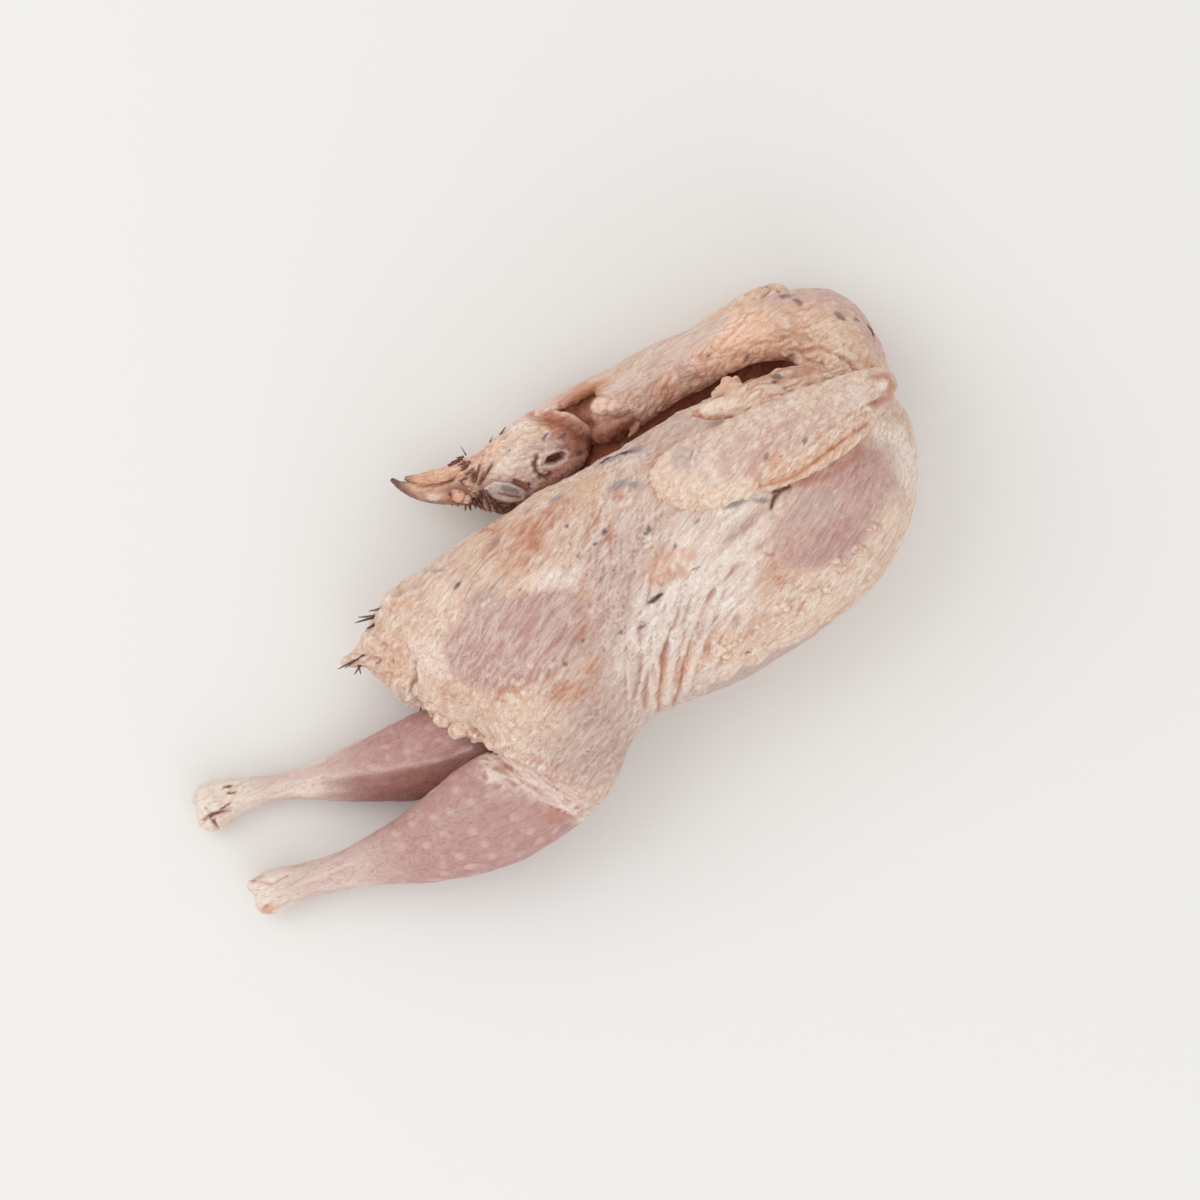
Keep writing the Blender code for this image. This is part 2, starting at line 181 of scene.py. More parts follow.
def cells(points, size, seed=0, jitter=0.8):
    """Distance to the nearest scattered point, in grains, and a random value for that point.

    Points laid out flat, all at one height, are measured in plan alone.
    """
    p = points / np.asarray(size, float)
    deep = 0 if np.ptp(p[:, 2]) < 1e-9 else 1
    base = np.floor(p).astype(np.int64)
    best = np.full(len(p), 9.0)
    value = np.zeros(len(p))
    for step in np.ndindex(3, 3, 1 + 2 * deep):
        cell = base + np.array(step) - (1, 1, deep)
        h = scramble(cell, seed)
        spot = np.stack([h & 1023, h >> 10 & 1023, h >> 20 & 1023], axis=1) / 1023.0 - 0.5
        gap = np.linalg.norm((p - cell - 0.5 - spot * jitter) * (1, 1, deep), axis=1)
        closer = gap < best
        best = np.where(closer, gap, best)
        value = np.where(closer, (h >> 5 & 255) / 255.0, value)
    return best, value


def turned(points, degrees):
    """The points turned in plan so that a direction at this angle lies along the first axis."""
    c, s = math.cos(math.radians(degrees)), math.sin(math.radians(degrees))
    x, y, z = points.T
    return np.stack([c * x + s * y, c * y - s * x, z], axis=1)


def along(points, path):
    """Plan distance from each point to a path, in mm."""
    best = np.full(len(points), 1e3)
    path = np.asarray(path, float)
    for a, b in zip(path, path[1:]):
        step = b - a
        t = np.clip(((points[:, :2] - a) @ step) / max(step @ step, 1e-9), 0, 1)
        best = np.minimum(best, np.linalg.norm(points[:, :2] - a - t[:, None] * step, axis=1))
    return best


def line(points, path, width):
    """1 on a path, falling to 0 a few widths away."""
    return np.exp(-((along(points, path) / width) ** 2))


def oval(points, x, y, rx, ry, degrees=0.0, edge=0.35):
    """1 inside an oval in plan, 0 outside, with an edge this soft."""
    q = turned(points - np.array([x, y, 0.0]), degrees)
    return 1 - ease(1 - edge, 1 + edge, np.hypot(q[:, 0] / rx, q[:, 1] / ry))


def ovals(points, rows, *edge):
    """1 inside any of several ovals in plan: x, y, half length, half width, turn."""
    return np.max([oval(points, *row, *edge) for row in rows], axis=0)


# ------------------------------------------------------------------ meshes as arrays
def smooth_rows(rows, steps=8):
    """Catmull-Rom curve through the rows, with this many steps to a span."""
    rows = np.array(rows, float)
    ends = np.vstack([2 * rows[0] - rows[1], rows, 2 * rows[-1] - rows[-2]])
    t = np.arange(steps)[:, None] / steps
    spans = [
        0.5 * (2 * b + (c - a) * t + (2 * a - 5 * b + 4 * c - d) * t**2 + (3 * b - a - 3 * c + d) * t**3)
        for a, b, c, d in zip(ends, ends[1:], ends[2:], ends[3:])
    ]
    return np.vstack([*spans, rows[-1:]])


def square_sections(rows):
    """Middle, width axis and height axis of sections that stand square to X."""
    x, back, belly, low, high = smooth_rows(rows).T
    zero = np.zeros_like(x)
    middle = np.stack([x, (back + belly) / 2, (low + high) / 2], axis=1)
    width = np.stack([zero, (back - belly) / 2, zero], axis=1)
    height = np.stack([zero, zero, (high - low) / 2], axis=1)
    return middle, width, height


def limb_sections(rows):
    """The same for sections that stand square to the limb's own path, sized and rolled."""
    dense = smooth_rows([(*row, 0)[:6] for row in rows])
    middle = dense[:, :3]
    half = np.maximum(dense[:, 3:5], 0.2)
    roll = np.radians(dense[:, 5])[:, None]
    forward = np.gradient(middle, axis=0)
    forward /= np.linalg.norm(forward, axis=1)[:, None]
    across = np.cross((0.0, 0.0, 1.0), forward)
    across /= np.linalg.norm(across, axis=1)[:, None]
    rise = np.cross(forward, across)
    width = across * np.cos(roll) + rise * np.sin(roll)
    height = rise * np.cos(roll) - across * np.sin(roll)
    return middle, width * half[:, :1], height * half[:, 1:]


def bridge(shells, rings):
    """Joins rings of points into one closed tube."""
    around = len(rings[0])
    for low, high in zip(rings, rings[1:]):
        for i in range(around):
            j = (i + 1) % around
            shells.faces.new((low[i], low[j], high[j], high[i]))
    shells.faces.new(rings[0])
    shells.faces.new(rings[-1])


def loft(shells, sections, around=64, keel=0.0):
    """Adds a closed loft to the bmesh. keel narrows its sections towards the keel side."""
    middle, width, height = sections
    turn = np.arange(around) * 2 * math.pi / around
    c, s = np.cos(turn)[None, :, None], np.sin(turn)[None, :, None]
    points = middle[:, None] + width[:, None] * c + height[:, None] * s * (1 + keel * c)
    rings = [[shells.verts.new(Vector(p)) for p in ring] for ring in points]
    bridge(shells, rings)


def swelling(shells, x, y, z, length, width, height, turn):
    """Adds a closed ellipsoid to the bmesh."""
    place = Matrix.Translation((x, y, z)) @ Matrix.Rotation(math.radians(turn), 4, "Z")
    size = Matrix.Diagonal((length, width, height, 1.0))
    bmesh.ops.create_uvsphere(shells, u_segments=24, v_segments=14, radius=1.0, matrix=place @ size)


def fused(shells, grain, softening):
    """Fuses overlapping shells into one skin: a mesh with softened creases."""
    bmesh.ops.recalc_face_normals(shells, faces=shells.faces)
    data = bpy.data.meshes.new("shells")
    shells.to_mesh(data)
    shells.free()
    thing = bpy.data.objects.new("shells", data)
    bpy.context.scene.collection.objects.link(thing)
    remesh = thing.modifiers.new("fuse", "REMESH")
    remesh.mode = "VOXEL"
    remesh.voxel_size = grain
    soften = thing.modifiers.new("soften", "SMOOTH")
    soften.factor = 0.5
    soften.iterations = softening
    evaluated = thing.evaluated_get(bpy.context.evaluated_depsgraph_get())
    skin = bpy.data.meshes.new_from_object(evaluated)
    bpy.data.objects.remove(thing, do_unlink=True)
    bpy.data.meshes.remove(data)
    return skin


def arrays(mesh):
    """Points and quads of a remeshed mesh."""
    points = np.empty(len(mesh.vertices) * 3)
    mesh.vertices.foreach_get("co", points)
    corners = np.empty(len(mesh.loops), np.int32)
    mesh.loops.foreach_get("vertex_index", corners)
    return points.reshape(-1, 3), corners.reshape(-1, 4).astype(np.int64)


def normals(points, quads):
    """Outward unit normal at each point."""
    face = np.cross(points[quads[:, 2]] - points[quads[:, 0]], points[quads[:, 3]] - points[quads[:, 1]])
    total = np.stack([
        sum(np.bincount(quads[:, k], face[:, axis], len(points)) for k in range(4)) for axis in range(3)
    ], axis=1)
    return total / np.maximum(np.linalg.norm(total, axis=1), 1e-12)[:, None]


def relaxed(points, quads, rounds):
    """The points evened out, each moved halfway to the mean of its neighbours in every round."""
    a = quads.ravel()
    b = np.roll(quads, -1, axis=1).ravel()
    count = np.bincount(a, minlength=len(points)) + np.bincount(b, minlength=len(points))
    for _ in range(rounds):
        total = [np.bincount(a, v[b], len(v)) + np.bincount(b, v[a], len(v)) for v in points.T]
        points = points + (np.stack(total, axis=1) / count[:, None] - points) * 0.5
    return points


# ------------------------------------------------------------------ paint
# Screen colours, 0 to 255.
TAN = (222, 191, 168)
CREAM = (236, 212, 189)
WHITE = (244, 231, 221)
LILAC = (199, 173, 164)
MAUVE = (194, 152, 146)
PLUM = (182, 134, 132)
PINK = (198, 158, 151)
ORANGE = (222, 168, 134)
RUST = (184, 118, 88)
BROWN = (132, 84, 66)
GREY = (160, 148, 150)
SLATE = (112, 94, 96)
DARK = (78, 40, 30)
# The next colour is painted shade, for the gaps between parts.
GAP_SHADE = (158, 76, 46)
BONE = (240, 226, 212)


def linear(colour):
    """A screen colour as linear light."""
    c = np.array(colour) / 255.0
    return np.where(c <= 0.04045, c / 12.92, ((c + 0.055) / 1.055) ** 2.4)


FACING_UP = (-0.15, 0.35)  # upward part of a normal, from the under side to the upper side
UNDERSIDE = 0.1  # and below which a face may be thinned
PATCH_EDGE = (-0.05, 0.6)  # noise over which a patch of colour comes in
SOFT = 0.5  # edge of a painted oval
# Hollows between these depths get painted shade, and bumps this proud a painted highlight.
SHALLOW = (0.03, 0.16)  # depths of creases, in mm
DEEP = (0.16, 0.42)
PROUD = (0.03, 0.2)
EVEN_ROUNDS = 6


class Skin:
    """A skin being worked, fused from limbs and knobs: its points, quads, normals and paint."""

    def __init__(self, name, grain, softening, limbs, knobs=(), shells=None):
        """grain is the spacing of the points in mm, softening the rounds that round off its creases."""
        shells = bmesh.new() if shells is None else shells
        for rows in limbs:
            loft(shells, limb_sections(rows))
        for row in knobs:
            swelling(shells, *row)
        mesh = fused(shells, grain, softening)
        self.name = name
        self.points, self.quads = arrays(mesh)
        bpy.data.meshes.remove(mesh)
        self.start = self.points.copy()
        self.settle()
        self.up = ease(*FACING_UP, self.normals[:, 2])

    def settle(self):
        """Takes the normals afresh, after the points have moved."""
        self.normals = normals(self.points, self.quads)

    def push(self, height):
        """Moves every point along its normal."""
        self.points = self.points + self.normals * np.asarray(height)[:, None]

    def folds(self, rows):
        """Raises or sinks the upper side along paths: path, width, height."""
        lift = np.zeros(len(self.points))
        for path, width, height in rows:
            lift += line(self.start, path, width) * height
        self.push(lift * self.up)

    def lay_flat(self):
        """Nothing reaches below the surface that the bird lies on."""
        self.points[:, 2] = np.maximum(self.points[:, 2], 0.0)
        self.settle()

    def base(self, seed, colour, rows):
        """Starts the paint: a colour with soft patches of others over it: grain, colour, strength."""
        self.paint = np.tile(linear(colour), (len(self.start), 1))
        for k, (grain, patch, strength) in enumerate(rows):
            self.tint(ease(*PATCH_EDGE, layers(self.start, grain, 3, seed + 11 * k)) * strength, patch)

    def tint(self, mask, colour):
        """Mixes a colour into the paint where the mask is 1."""
        self.paint = self.paint + (linear(colour) - self.paint) * np.clip(mask, 0, 1)[:, None]

    def zones(self, points, rows):
        """Paints soft ovals: x, y, half length, half width, turn, colour, strength."""
        for *place, colour, strength in rows:
            self.tint(oval(points, *place, SOFT) * strength, colour)

    def marks(self, rows, colour, strength):
        """Paints short strokes: x, y, length, width, turn."""
        q = ragged(self.start, 1.2, 0.35, 45)
        for x, y, length, width, turn in rows:
            self.tint(oval(q, x, y, length / 2, width / 2, turn, SOFT) * strength, colour)

    def stroke(self, path, width, strength, colour, around=False):
        """Paints a soft line along a path, on the upper side only or all around."""
        mask = line(self.start, path, width) * strength
        self.tint(mask if around else mask * self.up, colour)

    def crease(self, folds, strength, crease, crest):
        """Paints the creases and crests of a crinkled skin: darker creases and paler crests, partly the
        skin's own tones and partly painted shade in the creases and a painted highlight on the crests.
        """
        self.tint((1 - ease(0.05, 0.45, folds)) * strength, crease)
        self.tint(ease(0.55, 1.0, folds) * strength * 0.7, crest)

    def shade_hollows_light_crests(self, crease=RUST, deep=BROWN, strength=0.5):
        """Painted shade in what lies deeper than the skin around it, and a painted highlight on what stands
        out.
        """
        even = relaxed(self.points, self.quads, EVEN_ROUNDS)
        hollow = np.einsum("ij,ij->i", even - self.points, self.normals)
        self.tint(ease(*SHALLOW, hollow) * strength, crease)
        self.tint(ease(*DEEP, hollow) * strength, deep)
        self.tint(ease(*PROUD, -hollow) * strength * 0.7, WHITE)


def dress(data):
    """Makes a piece of the bird from a finished mesh."""
    piece = bpy.data.objects.new(data.name, data)
    bpy.context.scene.collection.objects.link(piece)
    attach(piece, "root")
    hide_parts("partridge")
    return piece


def finish_piece(skin, material, keep=1.0):
    """Turns a worked skin into a piece of the bird. keep thins the faces of its underside."""
    data = bpy.data.meshes.new(skin.name)
    place = (skin.points - np.array([*PLAN_CENTRE, 0.0])) * MM
    data.from_pydata(place.tolist(), [], skin.quads.tolist())
    data.polygons.foreach_set("use_smooth", np.ones(len(data.polygons), bool))
    colour = data.color_attributes.new("paint", "FLOAT_COLOR", "POINT")
    rgba = np.concatenate([np.clip(skin.paint, 0, 1), np.ones((len(skin.paint), 1))], axis=1)
    colour.data.foreach_set("color", rgba.ravel())
    data.materials.append(material)
    piece = dress(data)
    if keep < 1.0:
        under = piece.vertex_groups.new(name="under")
        under.add(np.flatnonzero(skin.normals[:, 2] < UNDERSIDE).tolist(), 1.0, "REPLACE")
        fewer = piece.modifiers.new("fewer", "DECIMATE")
        fewer.ratio = keep
        fewer.vertex_group = "under"
        evaluated = piece.evaluated_get(bpy.context.evaluated_depsgraph_get())
        thinned = bpy.data.meshes.new_from_object(evaluated)
        piece.modifiers.clear()
        piece.data = thinned
        bpy.data.meshes.remove(data)
        thinned.name = skin.name


# ------------------------------------------------------------------ materials
class Material:
    """A material being wired up: its nodes, its shader, and where each point lies."""

    def __init__(self, name):
        self.made = bpy.data.materials.new(name)
        self.made.use_nodes = True
        self.nodes = self.made.node_tree.nodes
        self.shader = self.nodes["Principled BSDF"]
        self.place = self.nodes.new("ShaderNodeTexCoord").outputs["Object"]

    def feed(self, node, inputs):
        """Sets a node's inputs, each to a value or from another node's output."""
        for key, value in inputs.items():
            if isinstance(value, bpy.types.NodeSocket):
                self.made.node_tree.links.new(value, node.inputs[key])
            else:
                node.inputs[key].default_value = value

    def node(self, kind, inputs, output=0, **settings):
        """Adds a node and returns one of its outputs."""
        made = self.nodes.new("ShaderNode" + kind)
        for key, value in settings.items():
            setattr(made, key, value)
        self.feed(made, inputs)
        return made.outputs[output]

    def ramp(self, source, *stops):
        """Turns a value into a colour: position and colour of each stop."""
        made = self.nodes.new("ShaderNodeValToRGB")
        self.feed(made, {"Fac": source})
        first, last = made.color_ramp.elements
        first.position, first.color = stops[0][0], (*stops[0][1], 1)
        last.position, last.color = stops[-1][0], (*stops[-1][1], 1)
        for position, colour in stops[1:-1]:
            made.color_ramp.elements.new(position).color = (*colour, 1)
        return made.outputs["Color"]

    def band(self, source, low, high, strength):
        """A peak of this strength midway between low and high."""
        dark = (0.0, 0.0, 0.0)
        return self.ramp(source, (low, dark), (round((low + high) / 2, 3), (strength,) * 3), (high, dark))

    def multiply(self, colour, other, factor, **settings):
        """Multiplies a colour by another, to the strength of the factor."""
        inputs = {0: factor, 6: colour, 7: other}
        return self.node("Mix", inputs, 2, data_type="RGBA", blend_type="MULTIPLY", **settings)

    def grain(self, scale, detail, roughness):
        """Noise fixed to the piece."""
        inputs = {"Vector": self.place, "Scale": scale, "Detail": detail, "Roughness": roughness}
        return self.node("TexNoise", inputs, "Fac")

    def sum(self, first, second, operation="ADD"):
        """Adds two values, or takes the second from the first."""
        return self.node("Math", {0: first, 1: second}, operation=operation)


def skin_material(name, lay, rough=0.5, broken=0.42, thread=0.30):
    """Paint from the points, with mottling, pores and thin threads too small for them to hold.

    lay is the direction of the threads in plan, in degrees.
    """
    m = Material(name)
    colour = m.node("Attribute", {}, "Color", attribute_name="paint")
    mottle = m.grain(800.0, 4.0, 0.65)
    fine = m.grain(2200.0, 2.0, 0.6)
    white = (1.0, 1.0, 1.0)
    colour = m.multiply(colour, m.ramp(mottle, (0.32, (0.84, 0.76, 0.72)), (0.58, white)), broken)
    colour = m.multiply(colour, m.ramp(fine, (0.36, (0.84, 0.79, 0.77)), (0.56, white)), broken)

    # Noise drawn out along the lay: one band of it makes dark seams, the next one pale threads, partly the
    # skin's own and partly a painted highlight.
    turn = {"Vector": m.place, "Rotation": (0.0, 0.0, math.radians(lay)), "Scale": (9.0, 1.0, 1.0)}
    drawn_out = m.node("Mapping", turn, vector_type="TEXTURE")
    drawn = m.node("TexNoise", {"Vector": drawn_out, "Scale": 850.0, "Detail": 2.0}, "Fac")
    seams = m.band(drawn, 0.36, 0.46, broken)
    lines = m.band(drawn, 0.45, 0.55, thread)
    colour = m.multiply(colour, (0.72, 0.56, 0.49, 1), seams)
    colour = m.multiply(colour, (1.38, 1.56, 1.70, 1), lines, clamp_result=True)

    pores = m.node("TexVoronoi", {"Vector": m.place, "Scale": 1500.0}, "Distance")
    height = m.sum(m.sum(m.sum(mottle, pores), lines), seams, "SUBTRACT")
    bump = m.node("Bump", {"Strength": 0.5, "Distance": 0.00025, "Height": height}, "Normal")
    wet = m.node("MapRange", {"Value": mottle, "To Min": rough - 0.08, "To Max": rough + 0.12}, "Result")
    m.feed(m.shader, {
        "Base Color": colour, "Normal": bump, "Roughness": wet, "Specular IOR Level": 0.35,
        "Subsurface Weight": 0.08, "Subsurface Radius": (0.0016, 0.0009, 0.0007),
    })
    return m.made


def shaft_material(name, dark, light):
    """Feather shafts, streaked from dark to light."""
    m = Material(name)
    streaks = m.node("TexNoise", {"Vector": m.place, "Scale": 900.0}, "Fac")
    colour = m.ramp(streaks, (0.35, linear(dark)), (0.68, linear(light)))
    m.feed(m.shader, {"Base Color": colour, "Roughness": 0.45})
    return m.made


# ------------------------------------------------------------------ flows and patterns
def beside(points, path):
    """Where each point lies by a path in plan: how far to its left, and how far along."""
    path = np.asarray(path, float)
    best = np.full(len(points), 1e6)
    side = np.zeros(len(points))
    run = np.zeros(len(points))
    done = 0.0
    for a, b in zip(path, path[1:]):
        step = b - a
        length = math.hypot(*step)
        step = step / length
        rel = points[:, :2] - a
        t = rel @ step
        off = step[0] * rel[:, 1] - step[1] * rel[:, 0]
        inside = np.clip(t, 0, length)
        gap = np.hypot(t - inside, off)
        closer = gap < best
        best = np.where(closer, gap, best)
        side = np.where(closer, off, side)
        run = np.where(closer, done + inside, run)
        done += length
    return side, run


def flowing(points, path, across, length, seed, spread=0.0, sway=1.2):
    """Noise drawn out along a path. With spread, its strands fan out as the path runs on."""
    side, run = beside(points, path)
    bend = noise(points, across * 4.0, seed + 70) * across * sway
    q = np.stack([(side + bend) / (1 + run * spread), run, points[:, 2]], axis=1)
    return noise(q, (across, length, across * 3.0), seed)


def crinkled(points, path, across, length, seed, spread=0.0, sway=1.2):
    """Rounded folds along a path with sharp creases between: 0 in a crease, up to 1 on a fold."""
    return np.clip(np.abs(flowing(points, path, across, length, seed, spread, sway)) * 2.2, 0, 1) ** 0.8


def threads(points, path, across, length, seed, spread=0.0, sway=1.2, thin=4.5):
    """Thin raised lines along a path: 0 to 1."""
    return np.clip(1 - np.abs(flowing(points, path, across, length, seed, spread, sway)) * thin, 0, 1)


def wrapped(points, rows):
    """Points as laid out flat round a limb: along it, round it, 0."""
    rows = np.array(rows, float)
    side, run = beside(points, rows[:, :2])
    stations = np.concatenate([[0.0], np.cumsum(np.hypot(*np.diff(rows[:, :2], axis=0).T))])
    middle = np.interp(run, stations, rows[:, 2])
    radius = np.interp(run, stations, rows[:, 3:5].mean(axis=1))
    return np.stack([run, np.arctan2(points[:, 2] - middle, side) * radius, np.zeros(len(points))], axis=1)


PAST_THE_BIRD = 150  # from the middle of the plan


def flat(points):
    """The points with their heights dropped, for patterns that are even in plan."""
    return points * (1.0, 1.0, 0.0)


def heading(degrees):
    """A straight path across the whole bird at this angle."""
    c, s = math.cos(math.radians(degrees)) * PAST_THE_BIRD, math.sin(math.radians(degrees)) * PAST_THE_BIRD
    return [(-c, -s), (c, s)]


def lumps(points, size, seed, share=1.0, jitter=0.8):
    """Rounded lumps on a share of scattered points: 0 to 1."""
    gap, value = cells(points, size, seed, jitter)
    return np.clip(1 - (gap / 0.5) ** 2, 0, 1) * (value < share)


def knee_net(points):
    """Thin raised wrinkles crossing over the knee: 0 to 1."""
    return np.maximum(threads(points, heading(-52), 1.5, 9.0, 231, sway=1.0, thin=2.3),
                      0.7 * threads(points, heading(20), 1.9, 4.5, 241, sway=1.0, thin=3.0))


def ragged(points, size, reach, seed):
    """Points pushed about in plan, so that what is painted on them has a broken edge."""
    shift = [layers(points, size, 3, seed), layers(points, size, 3, seed + 9), 0 * points[:, 0]]
    return points + np.stack(shift, axis=1) * reach


# ------------------------------------------------------------------ carcass
WEB_FLOW = [(12, -41), (18.5, -30), (24.5, -20), (32, -11.5), (42, -4.5), (58, 2)]
BREAST_FLOW = [(10, -38), (35, -31), (52, -24), (66, -15.5), (82, -4), (92, 10)]
BACK_FLOW = [(-56, -12), (-36, -2), (-18, 3), (-6, 9), (5, 16), (16, 20), (30, 22.5), (60, 27)]
KNEE_FLOW = [(-24, -30), (-10, -32), (4, -34), (12, -34)]
FURROWS = [
    ([(14.6, -37), (16.8, -32), (20, -24.7), (24, -19.5)], 0.5, -0.42),
    ([(18.6, -37), (20.9, -33.8), (27.3, -23.8), (30.2, -20.8)], 0.5, -0.4),
    ([(11, -36), (13.5, -31.5), (17.5, -26)], 0.5, -0.2),
    ([(17.2, -35.5), (19.5, -30), (23.6, -22.6), (28.8, -15.2), (34.5, -9)], 0.85, 0.65),
    ([(22.4, -34.4), (28.2, -26.6), (34.2, -19.6), (39.4, -12.6), (43, -7)], 0.85, 0.5),
    ([(33, -19.5), (36.5, -14), (39, -10)], 0.8, -0.15),
    ([(57.5, 2), (56.2, 0), (55, -6), (51.7, -12.6), (51.5, -19)], 1.4, -0.6),
    ([(-36.6, -6.6), (-37.4, -8.5), (-37.8, -10.5), (-39.5, -12.6)], 0.7, -1.3),
    ([(-33.5, 10.5), (-36, 7), (-41, 4.5)], 1.2, -0.5), ([(-44, 3), (-41, -1), (-42, -5)], 0.8, -0.7),
    ([(-50, 0.5), (-45.5, -2.5), (-42.5, -4.5)], 0.6, -0.6),
    ([(5.5, 12.5), (2, 9.5), (-2, 7.6)], 0.8, -0.4),
]
ABDOMEN_EDGE = [
    (-39.5, -16.5), (-37.5, -18), (-36, -21), (-34, -23), (-33, -25.5), (-31, -26.2), (-29.5, -28),
    (-27, -30.2), (-24.6, -33.2),
]
KNEE_EDGE = [(-25, -32.8), (-21, -36), (-17, -39.5), (-13.5, -43), (-10, -46.5), (-6, -52)]
KEEL_EDGE = [(8, -35.4), (19, -35.2), (37, -34.4), (51, -33), (61, -31.4), (69, -29), (80, -23)]
NECK_GAP = [(20, 24.6), (30, 26.8), (40, 29), (50, 31), (58, 31.5), (66, 31.2), (73, 29.5)]


def knee_zone(points):
    """The pink skin of the knee below the edge of the cream skin."""
    return 1 - ease(6, 9.5, along(points, [(-23, -36), *KNEE_EDGE[2:], (-4, -56)]))


def thigh_patch(p):
    """Muscle showing through the thin skin of the thigh."""
    q = ragged(p, 5, 1.1, 51)
    rows = [(-11, -8.2, 17, 8.4, 2, 0.12), (-18.5, -9.5, 10.3, 9.6, 0, 0.12), (-9, -14, 11.5, 6.5, 8, 0.2)]
    return ovals(q, rows)


def breast_patch(p):
    """Breast muscle showing through the skin under the wing."""
    q = ragged(p, 6, 1.6, 61)
    return ovals(q, [(66, -9.5, 13.5, 9, 12, 0.16), (73, -3.5, 14.5, 8.5, 20, 0.2)])


def feather_marks(skin):
    """Feather stubs left in the skin, and the dark pins under it."""
    p = skin.start
    skin.marks([
        (27, 4, 1.9, 1.2, 50), (14, 5, 1, 0.8, 0), (17, 7, 1.7, 1.1, 40), (9.3, 11.3, 1.1, 0.9, 20),
        (-20, 7, 2.4, 1, 35), (34.2, -8.5, 1.9, 0.7, 0), (17.7, -16.8, 2.3, 0.7, 10),
        (3.6, -15.2, 1.5, 0.9, 40), (-2.4, -19, 0.9, 0.9, 0), (12.6, -16.2, 1.4, 0.7, 30),
        (39, -31.2, 1.1, 0.9, 0), (-19.2, 16, 1.6, 0.9, -60), (-44.8, -3.6, 1.2, 0.8, 30),
        (26, 3.2, 1, 0.8, 0), (31.4, -1.8, 1, 0.7, 20),
    ], SLATE, 0.9)
    skin.marks([
        (24, 16.2, 5, 1.6, 5), (27.2, 15, 3, 1.5, -10), (25, 22.6, 9, 1.5, 3), (9, 18.4, 4.6, 1.2, 8),
        (1.5, 18.2, 2.4, 0.9, 15), (-24, 12.6, 4.4, 1, -10), (-8, 13.6, 2.8, 0.9, 25), (13, -3, 3, 0.8, 40),
        (31, 22.8, 3.2, 2, 0), (67, 27, 3.4, 1, -30), (48.5, 2.6, 6, 1.5, 5), (54, 1.2, 4, 1.3, -20),
        (8, -8, 1.4, 0.7, 60), (38, 1.8, 2, 0.8, 20),
    ], GREY, 0.85)
    skin.marks([
        (27.5, 22.9, 5, 0.7, -6), (23, 22.8, 3, 0.6, 5), (22.6, -11.8, 4.2, 1.2, 15),
        (24, -11.4, 1.8, 0.8, 15),
    ], DARK, 0.95)
    pin = lumps(p, 1.7, 191, 0.13, 0.9)
    skin.tint(ease(0.7, 0.95, pin) * oval(p, 8, -12, 24, 28, 0, 0.5) * 0.6, SLATE)


